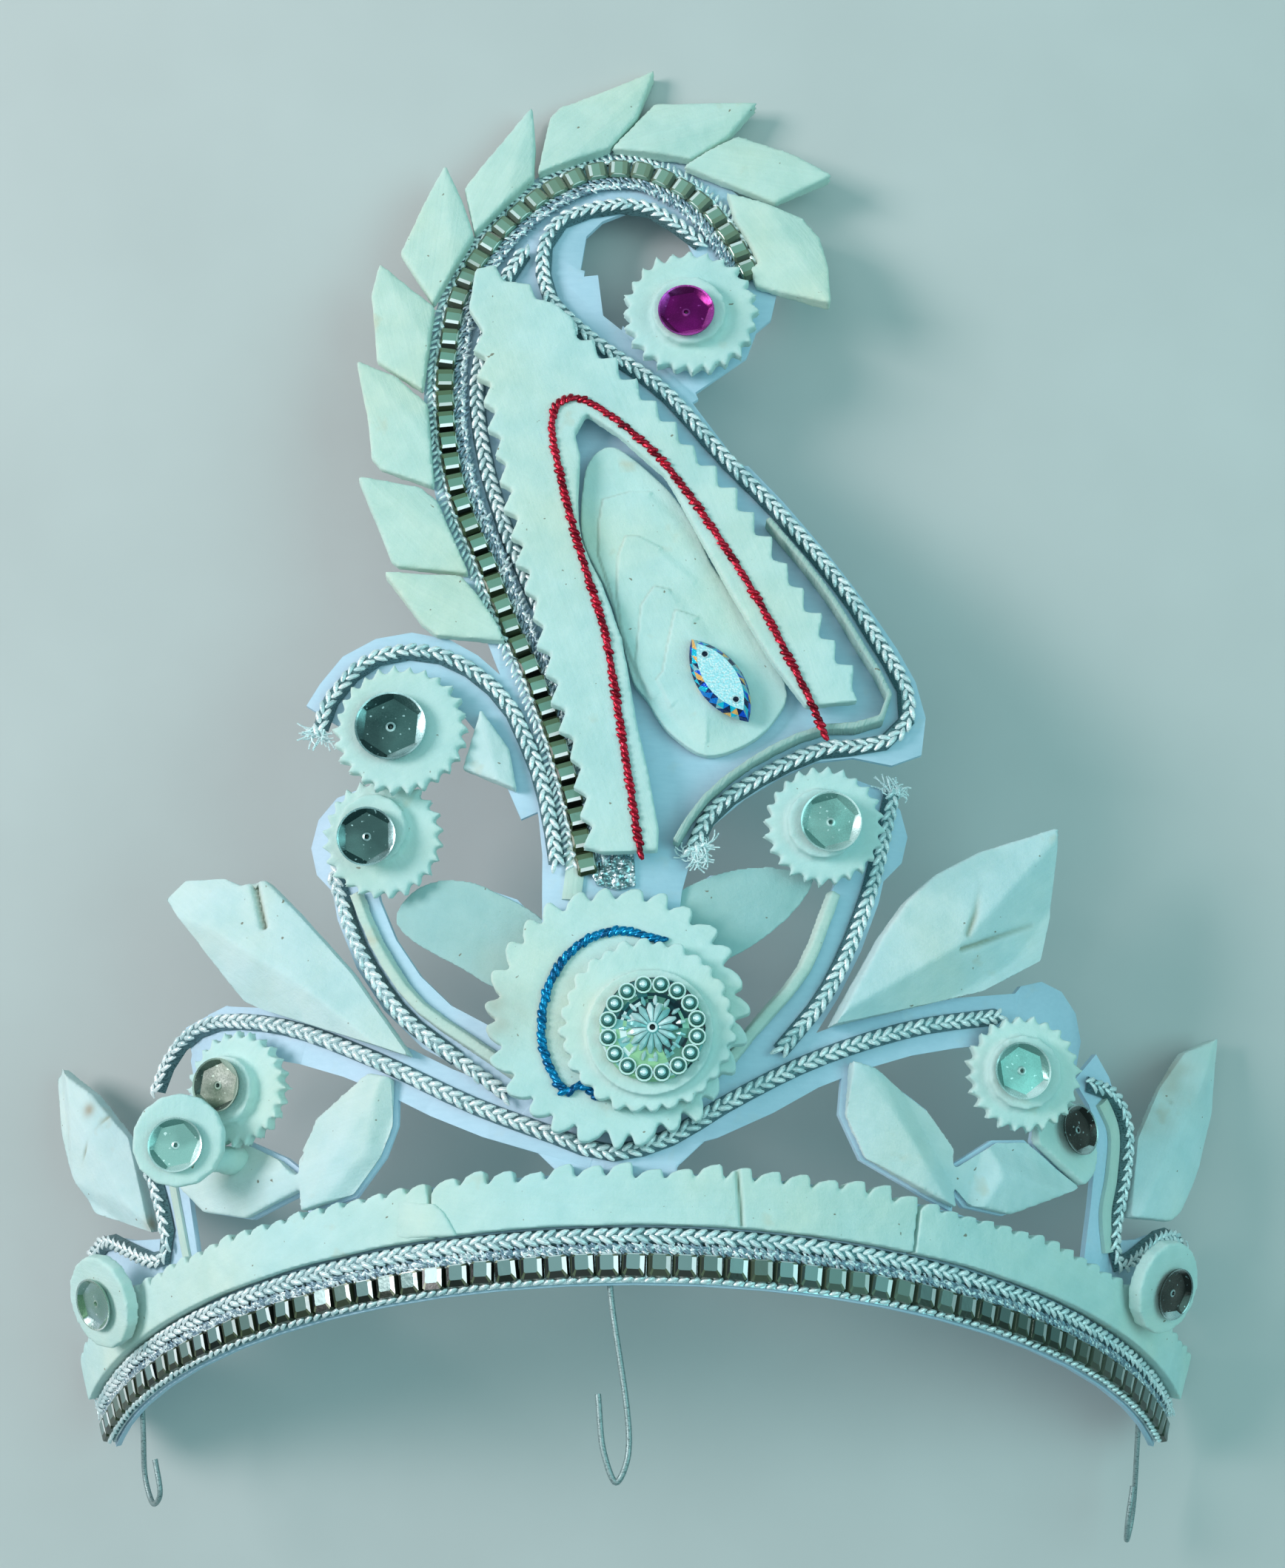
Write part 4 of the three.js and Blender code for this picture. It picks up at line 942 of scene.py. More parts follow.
SEQUIN_GROWTH = {"disc_side_right": 1.35}
SEQUINS = {
    "upper_left": (DARK_FOIL, 0.1), "upper_right": (GREEN_FOIL, 0.5), "lower_left": (OLIVE_FOIL, 0.3),
    "lower_right": (GREEN_FOIL, 0.25), "paisley_scroll": (DARK_FOIL, 0.45),
}
for place, (finish, spin) in SEQUINS.items():
    sequin("foil_" + place, "sequin_" + place, finish, spin, ["sequin_" + place])
sequin("foil_curl", "sequin_curl", MAGENTA_FOIL, 0.2, ["sequin_curl"])


def plain_disc(node, finish, spin):
    """A plain pith disc cut clear of the CAD's cup, and its foil sequin."""
    centre, normal, _, low = ring_frame(node)
    form = merged(node)
    top = normal * (low + PLAIN_DISC * MM - centre.dot(normal)) + centre
    cut = bmesh.ops.bisect_plane(form, geom=form.verts[:] + form.edges[:] + form.faces[:], plane_co=top,
                                 plane_no=normal, clear_outer=True)
    rim = [e for e in cut["geom_cut"] if isinstance(e, bmesh.types.BMEdge)]
    bmesh.ops.holes_fill(form, edges=rim, sides=0)
    carved(node, 0.4, 3, 0.12, form)
    sequin("foil_" + node, node, finish, spin, [])


PLAIN_DISCS = {
    "disc_side_left": (GREEN_FOIL, 0.2), "disc_side_right": (BROWN_FOIL, 0.4),
    "disc_end_left": (SILVER_FOIL, 0.1), "disc_end_right": (BROWN_FOIL, 0.6),
}
for node, (finish, spin) in PLAIN_DISCS.items():
    plain_disc(node, finish, spin)
RECUT = ("petal_stack", "band_pith_left", "band_pith_centre", "band_pith_right", "rosette_disc",
         "rosette_boss", "paisley_panel")
FINE_PITH = {"paisley_rim": 0.34, "scroll_rib": 0.34}
for piece in frame["record"]["subparts"]:
    node = piece["node"]
    if piece["material_slot"] == "pith" and node not in PLAIN_DISCS and node not in RECUT:
        carved(node, FINE_PITH.get(node, PITH_VOXEL))


# Sheets cut from flat stock

def flat(x, y, height):
    return Vector((x, y, height)) * MM, None


def sheet(outline, place, low, high):
    """A flat sheet with an upright edge."""
    count = len(outline)
    verts = [place(x, y, h)[0] for h in (low, high) for x, y in outline]
    faces = [tuple(range(count)), tuple(range(count, 2 * count))]
    faces += [(k, (k + 1) % count, count + (k + 1) % count, count + k) for k in range(count)]
    return verts, faces


def cut_sheet(layers, voxel, place, shape=None, soften=0):
    """Layers of outline, foot and top made one, shaped in height and laid on a surface."""
    stock = joined([sheet(outline, flat, low, high) for outline, low, high in layers])
    block = new_object("sheet", outward(mesh_from("sheet", *stock)))
    mesh = rounded(block, voxel, soften)
    for v in mesh.vertices:
        q = v.co / MM
        if shape:
            q.z += shape(q)
        v.co = place(*q)[0]
    mesh.update()
    return mesh


def depth_inside(x, y, outline):
    """How deep a point is inside an outline, below zero outside, and how its nearest edge faces right."""
    near, facing_right, inside = math.inf, 0.0, False
    for (ax, ay), (bx, by) in zip(outline, outline[1:] + outline[:1]):
        dx, dy = bx - ax, by - ay
        t = max(0.0, min(1.0, ((x - ax) * dx + (y - ay) * dy) / (dx * dx + dy * dy)))
        away = math.hypot(x - ax - t * dx, y - ay - t * dy)
        if away < near:
            near, facing_right = away, -(dx + dy) / math.hypot(dx, dy)
        if (ay > y) != (by > y) and x < ax + (y - ay) / dy * dx:
            inside = not inside
    return (near if inside else -near), facing_right


def round_loop(points, pieces=4):
    """A closed outline rounded through its points."""
    count = len(points)
    ring = [Vector(p) for p in points]
    fine = []
    for k in range(count):
        a, b, c, d = ring[k - 1], ring[k], ring[(k + 1) % count], ring[(k + 2) % count]
        for i in range(pieces):
            t = i / pieces
            square, cube = 2 * a - 5 * b + 4 * c - d, 3 * b - a - 3 * c + d
            p = 0.5 * (2 * b + (c - a) * t + square * t ** 2 + cube * t ** 3)
            fine.append((p.x, p.y))
    return fine


# Toothed pith; columns of a tooth: share of the pitch, share of the depth
SAW_TOOTH = ((0.02, 0.0), (0.1, 0.3), (0.3, 0.72), (0.6, 0.94), (0.88, 1.0), (0.95, 0.8), (0.98, 0.0))
LEAF_TOOTH = ((0.0, 0.92), (0.12, 1.0), (0.32, 0.86), (0.58, 0.45), (0.74, 0.0), (0.82, 0.08), (0.94, 0.7))
LOBE_TOOTH = ((0.0, 0.85), (0.18, 1.0), (0.42, 0.9), (0.62, 0.5), (0.74, 0.0), (0.86, 0.35))
PITH_FOOT = 9.4
PITH_TOP = 16.4
PITH_THICK = 3.0
# Columns: start, end, tooth pitch, tooth depth
BAND_STRIPS = {
    "band_pith_left": (-127, -31.7, 3.6, 2), "band_pith_centre": (-31.3, 45, 4.6, 3),
    "band_pith_right": (45.4, 127, 3.6, 2),
}


def band_strip(node, start, end, pitch, depth, seed):
    """A strip of the band whose upper edge is cut to uneven blunt teeth."""
    rng = random.Random(seed)
    count = round((end - start) / pitch)
    step = (end - start) / count
    outline = [on_band(start + step * i, PITH_FOOT) for i in range(count + 1)]
    for i in reversed(range(count)):
        tall = depth * rng.uniform(0.65, 1.1)
        outline += [on_band(start + step * (i + along), PITH_TOP + tall * rise)
                    for along, rise in reversed(SAW_TOOTH)]
    finished(node, cut_sheet([(outline, GAP, GAP + PITH_THICK)], 0.36, on_card, None, 1))


def circle(x, y, radius, count=48):
    turns = [2 * math.pi * k / count for k in range(count)]
    return [(x + radius * math.cos(a), y + radius * math.sin(a)) for a in turns]


def toothed_ring(radius, count, depth, tooth, seed, middle=(0, 0)):
    rng = random.Random(seed)
    starts = [i + rng.uniform(-0.16, 0.16) for i in range(count)]
    starts.append(starts[0] + count)
    points = []
    for a, b in zip(starts, starts[1:]):
        tall = depth * rng.uniform(0.7, 1.1)
        for along, rise in tooth:
            turn = 2 * math.pi * (a + (b - a) * along) / count
            reach = radius - depth + tall * rise
            points.append((middle[0] + reach * math.cos(turn), middle[1] + reach * math.sin(turn)))
    return points


for seed, (node, facts) in enumerate(BAND_STRIPS.items()):
    band_strip(node, *facts, seed)
ROSETTE_RING = toothed_ring(22.2, 27, 2.9, LEAF_TOOTH, 7)
BOSS_RING = toothed_ring(14.7, 28, 1.7, LOBE_TOOTH, 9, (5.2, -2.6))
finished("rosette_disc", cut_sheet([(ROSETTE_RING, 0, 3)], 0.36, on_seat(ROSETTE), None, 1))
BOSS_LAYERS = [(BOSS_RING, 3.3, 5.9), (circle(5.6, -4, 10.4), 5.5, 7.5)]
finished("rosette_boss", cut_sheet(BOSS_LAYERS, 0.34, on_seat(ROSETTE), None, 3))


# Small discs of pith, stacked on the card, carry the left side disc
SPACERS = ((2.4, 0.02, 4.3), (2.1, 4.1, 8.5), (2.3, 8.3, 12.6))
post = cut_sheet([(circle(-72.5, 22.4, radius), low, high) for radius, low, high in SPACERS], 0.34, on_card)
added("disc_spacers", post, PITH)

# The nested petals: thin sheets of pith, each smaller than the one below
PETALS = [
    [(-9.3, 138), (-8.5, 143), (-6.3, 146.2), (-3, 146.6), (3, 141.5), (7.5, 136.6), (11.3, 130),
     (13.6, 124.2), (18.2, 117), (26.2, 102), (24.5, 95.5), (19.5, 90.8), (12.5, 88.7), (6.8, 92.3),
     (4, 95.8), (2.2, 98.9), (0, 102), (-1.7, 108), (-3.3, 114.5), (-5, 119.6), (-7, 123.8), (-8.7, 127.6),
     (-9.5, 132)],
    [(-6.4, 131.6), (-5.7, 136.6), (-1, 138), (3.1, 138), (8.5, 132.5), (15.5, 122), (20.5, 110),
     (22.5, 101), (20.5, 95), (12.3, 89), (3, 98.5), (-1, 107), (-2.8, 112.2), (-3.9, 117.8), (-6.4, 125.9)],
    [(-2.9, 125.6), (-1.6, 129.3), (0.8, 129.3), (5, 127), (11.5, 121), (16.5, 112), (20.5, 103),
     (19.5, 96.5), (12.6, 90), (2.4, 99.2), (-0.6, 106.5), (-2.3, 112), (-3.1, 118.3)],
    [(1.2, 116.1), (3.5, 119.7), (6.5, 118.9), (8.3, 117.3), (13, 111.5), (18, 104), (18.5, 97.5),
     (12.8, 91.3), (3.3, 98.7), (0.5, 102.2), (0.3, 106.1), (0.6, 110.1)],
    [(5.7, 108.3), (7.1, 115.1), (11.3, 113.9), (15, 107.5), (17.5, 101.5), (17, 96.8), (13, 92.7),
     (6.2, 97), (3.8, 102.2), (4.9, 103.5)],
]
PETAL_BASE_THICK = 2.1
PETAL_STEP = 0.38
PETAL_EDGE = 0.2
PETAL_SLOPE = 4.5


def petal_stack():
    """One sheet of pith with a crisp step up to each smaller petal, the steps running out to the right."""
    low, high = PAISLEY_BASE, PAISLEY_BASE + PETAL_BASE_THICK

    def steps(q):
        rise = 0.0
        if q.z > (low + high) / 2:
            for outline in PETALS[1:]:
                depth, right = depth_inside(q.x, q.y, outline)
                width = PETAL_EDGE + PETAL_SLOPE * max(0.0, min(1.0, right + 0.4))
                step = max(0.0, min(1.0, depth / width + 0.2))
                rise += PETAL_STEP * step * step * (3 - 2 * step)
        return rise

    # A fine line of painted shade, in a shallow cut, runs along the foot of each step's left and top edge
    CRACKS["petal_stack"] = [
        ([on_paisley(x, y, high + PETAL_STEP * k)[0] for x, y in outline[-2:] + outline[:3]], 0.25, 0.09)
        for k, outline in enumerate(PETALS[1:])]
    finished("petal_stack", cut_sheet([(round_loop(PETALS[0]), low, high)], 0.3, on_paisley, steps), 0.12)


petal_stack()

# The toothed panel, cut back along its left inner edge to where the petals begin
PANEL_CUT = [(-10, 146.5), (-9.6, 143.8), (-9.9, 137.2), (-9.9, 131.4), (-9.2, 127.3), (-7.6, 123.2),
             (-5.6, 119.2), (-3.9, 114.3), (-2.4, 109.5), (2, 109.5), (-2, 130), (-6.5, 146.5)]
carved("paisley_panel", 0.44, cuts=[PANEL_CUT])


# Cut card

CURL_OPENING = [
    (-10, 184), (-9, 191), (-6, 194.2), (-1, 196.4), (5.5, 195.7), (9.3, 191.3), (11, 187), (6.5, 179.4),
    (-1.3, 171.6), (-4.7, 174.8), (-6.2, 183)]
CURL_OUTSIDE = [
    (27.7, 180), (25.2, 173.8), (22.4, 171.3), (19.7, 163.8), (15.9, 160.5), (10.5, 156.8), (19, 144.3),
    (39, 142.8), (40, 180)]

CARD_EDGE = 0.12


def card_copy(node, cuts=()):
    """A card with its cut edges eased."""
    block = block_of(merged(node))
    cutters = trim(block, cuts)
    modify(block, "edge", "BEVEL", width=CARD_EDGE * MM, segments=1, limit_method="ANGLE",
           angle_limit=math.radians(40))
    keep("cut_" + node, smooth_shaded(baked(block, cutters), 35), CARD_WHITE, [node])


card_copy("frame_card")
card_copy("paisley_card", [CURL_OPENING, CURL_OUTSIDE])

# Thin pith leaves on the hub, beside the rosette; their pith is darkened and cooled as painted shade
HUB_LEAVES = {
    "hub_leaf_left": [(-41.7, 62), (-40.3, 65.2), (-37.3, 67.5), (-33, 68.5), (-28, 67.8), (-23.5, 65.7),
                      (-17, 62), (-13, 57), (-18, 49.5), (-23.4, 49.2), (-29, 52.5), (-35.2, 56),
                      (-39.5, 59)],
    "hub_leaf_right": [(31, 68.3), (27.8, 69.8), (22.5, 70.2), (16.7, 69.4), (10.9, 67.3), (6, 64), (4, 58),
                       (9, 51.5), (17, 54.5), (22.5, 58), (27.8, 63)],
}


def thin_leaf(name, outline, thick, crown):
    """A thin bent leaf lying on the card, a little crowned."""
    outline = round_loop(outline)

    def crowned(q):
        depth = max(0.0, depth_inside(q.x, q.y, outline)[0])
        return crown * (1 - math.exp(-((depth / 2.2) ** 2))) if q.z > thick / 2 else 0.0

    added(name, cut_sheet([(outline, 0.02, thick)], 0.3, on_card, crowned), SHADED_SHEET_PITH)


for name, outline in HUB_LEAVES.items():
    thin_leaf(name, outline, 0.6, 0.3)

# The hub's lower corner, card in the frame's own thickness
HUB_CORNER = [(-20.7, 25.8), (-12.8, 18.4), (-12.8, 15.2), (7.2, 15.2), (7.2, 19), (15.7, 26.9), (10, 34),
              (-14, 34)]
corner = cut_sheet([(HUB_CORNER, 0.05 - CARD, -0.05)], 0.28, on_card)
keep("hub_corner", smooth_shaded(corner, 35), CARD_WHITE, ())

# Braids: the CAD strip is the core, coloured near black as painted shade between the strands, with a plait on
# it
LOWER_ROUTE = [
    (-94, 36.5), (-91, 41), (-86, 45), (-79, 47), (-63.5, 45), (-46, 38.5), (-27, 29.5), (-14, 24.5),
    (-4, 21.2), (5.5, 23.5), (15.5, 29.5), (30, 37), (48.5, 43.5), (66, 47)]
UPPER_LEFT_ROUTE = [(-53.5, 71), (-48.6, 58), (-40, 45.5), (-30, 37.5), (-25.5, 34.2), (-21.3, 31)]
UPPER_RIGHT_ROUTE = [(46, 85), (41, 66.5), (33, 49), (24.6, 38.5)]
SIDE_LEFT_ROUTE = [
    (-97.4, 24.5), (-92.5, 13.3), (-91.5, 7.8), (-95, 6.2), (-106.5, 8.7), (-114, 10.3), (-121, 8)]
SIDE_RIGHT_ROUTE = [
    (88, 37), (94.5, 35.6), (98.6, 31), (99, 24), (95.5, 9), (97.5, 5.6), (104, 7.5), (112, 10.8),
    (120, 11), (125, 7.5)]
EDGE_ROUTE = [
    (12.2, 189), (7.5, 193), (2.7, 196.2), (-2.3, 197), (-8.5, 196), (-13.3, 194), (-16.2, 190), (-17, 184),
    (-15.5, 177.5), (-7.6, 169), (4.8, 159.2), (16.5, 145.1), (26.4, 134), (38.1, 118.4), (42.6, 110.3),
    (47, 101.9), (47.6, 97), (45.5, 92.8), (39.2, 90.8), (34, 90.6), (27, 88), (19.6, 83.8), (13, 78.5),
    (10, 72.3)]
INNER_ROUTE = [
    (-20.6, 187), (-24.4, 180), (-27.6, 168), (-28.6, 160), (-28.2, 153), (-26.5, 143.5), (-23.6, 133.5),
    (-21.3, 127.4), (-19.2, 122.5), (-17, 117)]
SCROLL_ROUTE = [
    (-54.4, 94), (-53.2, 98.5), (-51, 101.7), (-47.6, 105.7), (-42.2, 108), (-36.8, 108.2), (-31.4, 106.6),
    (-25.9, 102.8), (-21.6, 98), (-18.7, 92), (-16.2, 85.5), (-14.4, 78), (-13.1, 70)]
TAIL_ROUTE = [(-31, 38.3), (-28.2, 36.2), (-25.5, 34.2), (-21.5, 31.1)]
BAND_BRAID_ROUTE = [on_band(127 * (k / 8 - 1), 7.7) for k in range(17)]
BRAIDS = {
    "band_braid": (BAND_BRAID_ROUTE, on_card, GAP),
    "braid_lower": (LOWER_ROUTE, on_card, GAP),
    "braid_upper_left": (UPPER_LEFT_ROUTE, on_card, GAP),
    "braid_upper_right": (UPPER_RIGHT_ROUTE, on_card, GAP),
    "braid_side_left": (SIDE_LEFT_ROUTE, on_card, GAP),
    "braid_side_right": (SIDE_RIGHT_ROUTE, on_card, GAP),
    "braid_paisley_edge": (EDGE_ROUTE, on_paisley, PAISLEY_BASE),
    "braid_paisley_inner": (INNER_ROUTE, on_paisley, PAISLEY_BASE),
    "braid_paisley_scroll": (SCROLL_ROUTE, on_paisley, PAISLEY_BASE),
}
BRAID_PITCH = 2.05
PLAIT = plait_link()
for seed, (node, (route, place, low)) in enumerate(BRAIDS.items()):
    line = path(route, place, low + BRAID_TOP - 0.1)
    links("plait_" + node, [line], PLAIT, BRAID_PITCH, BRAID_THREAD, 0.94, 0.12, seed)
    NODES[node].material_slots[0].material = BRAID_CORE_PAINTED_SHADE

# Stone trims: foil ribbon, baguettes across it, a stitched row along each edge
BAND_TRIM_ROUTE = [on_band(126 * (k / 8 - 1), 3.2) for k in range(17)]
PAISLEY_TRIM_ROUTE = [
    (-7.5, 70), (-10.1, 82.5), (-13.6, 94.5), (-17.1, 104.3), (-21.3, 113.5), (-25.6, 125), (-30, 135.5),
    (-32.6, 146), (-33.7, 157.5), (-33.4, 167), (-31.4, 178.5), (-26.4, 188.3), (-20.3, 195.4),
    (-13.3, 200.7), (-6, 203.5), (1.4, 203.3), (7.5, 200.5), (12, 196.8), (15.8, 192), (18.5, 187.3),
    (20.3, 183)]
RIBBON_THICK = 0.55
STONE_PITCH = 4.13


def strip(route, place, low, width, thick):
    """A flat strip along a route, its top a little crowned."""
    half = width / 2
    section = [(-half, 0), (half, 0), (half, 0.7), (0.5 * half, 1), (-0.5 * half, 1), (-half, 0.7)]
    rows = [path(route, place, low + thick * up, -side) for side, up in section]
    count = len(rows[0])
    verts = [rows[k][i][0] for i in range(count) for k in range(6)]
    faces = ring_faces(count, 6) + [(5, 4, 3, 2, 1, 0), tuple(range(6 * count - 6, 6 * count))]
    return smooth_shaded(outward(mesh_from("strip", verts, faces)), 40)


keep("braid_tail_core", strip(TAIL_ROUTE, on_card, 0.02, 2.0, GAP + BRAID_TOP - 0.1), BRAID_CORE_PAINTED_SHADE, ())

BAND_BAGUETTE = baguette("band_baguette", -2.2, -0.9, 1.45, WIDE_CUT)
PAISLEY_BAGUETTE = baguette("paisley_baguette", -2.4, -1.85, 0.75, FINE_CUT)
LOOP_STITCH = twist_link(math.radians(24), 1.9, 0.42)
CROSS_STITCH = twist_link(math.radians(-38), 1.8, 0.26)
FRINGE_STITCH = twist_link(math.radians(-52), 2.1, 0.32)
LOOP_PITCH = 1.8
FRINGE_PITCH = 1.25
CROSS_PITCH = 1.15
WEB_ROWS = 4


def stone_trim(name, node, route, place, low, shape, stone, fringe, seed):
    """A foil ribbon with baguettes across it, loop stitches along its edges and a thread web on its left."""
    keep(name + "_ribbon", strip(route, place, low, TRIM_WIDTH, RIBBON_THICK), RIBBON_FOIL, [node])
    top = low + RIBBON_THICK
    half = TRIM_WIDTH / 2

    def row(height, shift=0.0):
        return path(route, place, height, shift)

    links(name + "_stones", [row(top - 0.05)], shape, STONE_PITCH, stone, 1.0, 0.06, seed)
    edges = [row(top + 0.3, 0.55 - half), row(top + 0.1, half - 0.35)]
    links(name + "_loops", edges, LOOP_STITCH, LOOP_PITCH, STITCH, 1.0, 0.2, seed)
    if fringe:
        outer = row(low + 0.5, -0.45 - half)
        links(name + "_fringe", [outer], FRINGE_STITCH, FRINGE_PITCH, STITCH, 1.0, 0.4, seed + 2)
    inner = max(v.co.y for v in shape.data.vertices) / MM
    web = [row(top + 0.25, inner + (half + 0.4 - inner) * (k + 0.4) / WEB_ROWS) for k in range(WEB_ROWS)]
    links(name + "_web", web, CROSS_STITCH, CROSS_PITCH, WEB, 1.0, 0.5, seed + 1)


stone_trim("band_stones", "band_trim", BAND_TRIM_ROUTE, on_card, GAP, BAND_BAGUETTE, BAND_STONE, False, 11)
stone_trim("paisley_stones", "paisley_trim", PAISLEY_TRIM_ROUTE[::-1], on_paisley, PAISLEY_BASE,
           PAISLEY_BAGUETTE, PAISLEY_STONE, True, 12)

# Tinsel wires
RED_ROUTE = [
    (1.1, 70.2), (-1.6, 88), (-5.1, 110), (-6.5, 115), (-8.4, 121.4), (-10.7, 129.5), (-13.1, 139.6),
    (-14.7, 149.3), (-13.8, 153.4), (-11.7, 154.7), (-8.8, 154.2), (-1.9, 149.3), (5.4, 141.8), (15.1, 127.2),
    (22, 115), (26.7, 105.1), (30.3, 97.2), (32.5, 91.1)]
BLUE_ROUTE = [
    (7.6, 12.1), (0.7, 13.8), (-4.4, 12.5), (-8.3, 9.4), (-11.0, 4.9), (-12.2, -0.5), (-12.0, -5.7),
    (-10.2, -10.4), (-8.6, -12.6)]
BLUE_END = [(-9.3, -12.0), (-8.0, -13.2), (-6.0, -12.0), (-2.9, -14.0)]
TWIST = twist_link(math.radians(30), 2.3, 0.52)
TWIST_PITCH = 1.15
red_line = path(RED_ROUTE, on_paisley, PANEL_TOP + 0.2)
links("red_tinsel_wire", [red_line], TWIST, TWIST_PITCH, RED_TINSEL, 0.95, 0.35, 5)
blue_lines = [path(BLUE_ROUTE, on_seat(ROSETTE), 3.4), path(BLUE_END, on_seat(ROSETTE), 3.5)]
links("blue_tinsel_wire", blue_lines, TWIST, TWIST_PITCH, BLUE_TINSEL, 1.02, 0.25, 6)


# The moulded button and the sew-on stone

def lathe(profile, around, shift=(0, 0, 0)):
    """A turned shape; a profile point on the axis closes it."""
    verts, faces = [], []
    rings = []
    for r, z in profile:
        count = around if r > 0 else 1
        rings.append(range(len(verts), len(verts) + count))
        for k in range(count):
            a = 2 * math.pi * k / around
            verts.append(Vector((shift[0] + r * math.cos(a), shift[1] + r * math.sin(a), shift[2] + z)))
    for low, high in zip(rings, rings[1:]):
        for k in range(around):
            n = k + 1
            loop = [low[k % len(low)], low[n % len(low)], high[n % len(high)], high[k % len(high)]]
            faces.append(tuple(dict.fromkeys(loop)))
    return verts, faces


BUTTON_DOMES = 16
BUTTON_RING = 7.35
BUTTON_PLACE = ROSETTE @ Matrix.Translation((6.1, -3.8, 7.8))
PLATE_PROFILE = [(0, 1.3), (4.3, 1.3), (4.9, 1.2), (5.4, 1.05), (6.0, 0.95), (8.3, 0.95),
                 (8.6, 0.6), (8.6, 0), (0, 0)]
DOME_PROFILE = [(0, 1.6), (0.35, 1.56), (0.65, 1.42), (1.0, 1.05), (1.12, 0.8), (1.24, 0.76),
                (1.44, 0.78), (1.52, 0.4), (1.52, 0)]
# Each dome's painted light, ring by ring from the top: a bright cap, a dark ring, a bright outer ring
DOME_PAINTED_LIGHT = (1.0, 0.7, 0.22, 0.04, 0.5, 0.9, 0.5, 0.1)
HEART_PROFILE = [(0, 1.7), (0.35, 1.7), (0.5, 2.35), (0.85, 2.3), (1.15, 1.9), (1.2, 1.2)]
# The heart painted dark in its hollow and bright on its rim
HEART_PAINTED_LIGHT = (0.0, 0.05, 0.9, 0.6, 0.1)
PETAL_COUNT = 15
# Painted glints and painted shade on the foil under the flower, by direction, from these degrees round on
PLATE_GLINTS = ((0, (0.0, 0.02, 0.05, 0.5)), (65, (0.05, 0.2, 0.25, 0.9)), (160, (0.4, 0.42, 0.6, 0.9)),
                (225, (0.36, 0.4, 0.4, 0.7)), (300, (0.02, 0.05, 0.25, 0.6)))


def button_mesh():
    """A foiled plastic button: a ring of domes round a flower of plump petals."""
    rng = random.Random(4)
    verts, faces, tones = [], [], []

    def put(part, tone_of):
        start = len(verts)
        verts.extend(part[0])
        for i, loop in enumerate(part[1]):
            faces.append(tuple(start + k for k in loop))
            tones.append(tone_of(i, sum((part[0][k] for k in loop), Vector()) / len(loop)))

    def glint(_, p):
        around = math.degrees(math.atan2(p.y, p.x)) % 360
        return rng.choice([choices for start, choices in PLATE_GLINTS if start <= around][-1])

    def drops(spine, radii, turn):
        for k in range(PETAL_COUNT):
            spin = Matrix.Rotation(2 * math.pi * (k + turn) / PETAL_COUNT, 3, "Z")
            body, loops = tube(spine, radii, 6, 0.8)
            # Each petal's left half painted lighter than its right, as light from one side
            left, right = rng.choice(((0.9, 0.12), (0.75, 0.02), (0.6, 0.05), (0.66, 0.3)))
            last = 6 * (len(spine) - 1)
            put(([spin @ v / MM for v in body], loops),
                lambda i, p: 0.1 if i >= last else left if i % 6 < 3 else right)

    put(lathe(PLATE_PROFILE, 22), glint)
    for k in range(BUTTON_DOMES):
        a = 2 * math.pi * (k + 0.5) / BUTTON_DOMES
        shift = (BUTTON_RING * math.cos(a), BUTTON_RING * math.sin(a), 0.6)
        put(lathe(DOME_PROFILE, 14, shift), lambda i, p: DOME_PAINTED_LIGHT[i // 14])
    drops([(1.0, 0, 1.85), (1.9, 0, 2.15), (3.1, 0, 1.95), (4.1, 0, 1.35)], (0.2, 0.36, 0.6, 0.25), 0)
    drops([(3.9, 0, 1.2), (4.6, 0, 1.45), (5.4, 0, 1.1)], (0.2, 0.38, 0.2), 0.5)
    put(lathe(HEART_PROFILE, 16), lambda i, p: HEART_PAINTED_LIGHT[i // 16])
    mesh = mesh_from("button", [BUTTON_PLACE @ v for v in verts], faces, tones)
    return smooth_shaded(mesh, 40)


keep("moulded_button", button_mesh(), BUTTON_GLASS, ["rosette_button"])

STONE_PLACE = CROWN @ Matrix.Translation((14.8, 101.6, 5.3)) @ Matrix.Rotation(math.radians(-57.5), 4, "Z")
STONE_LENGTH = 18
STONE_WIDTH = 8
STONE_TABLE_INSET = 1.2
STONE_FACETS = 26
STONE_HOLE = 4.9
BEVEL_TONES = (0.02, 0.05, 0.25, 0.3, 0.45, 0.5, 0.62)


def pointed_oval(length, width, count):
    """Points round two equal arcs that meet at the ends."""
    radius = (length ** 2 + width ** 2) / (4 * width)
    half = math.asin(length / 2 / radius)
    drop = radius - width / 2
    points = []
    for side in (1, -1):
        for k in range(count // 2):
            a = half * (1 - 4 * k / count)
            points.append((side * radius * math.sin(a), side * (radius * math.cos(a) - drop)))
    return points


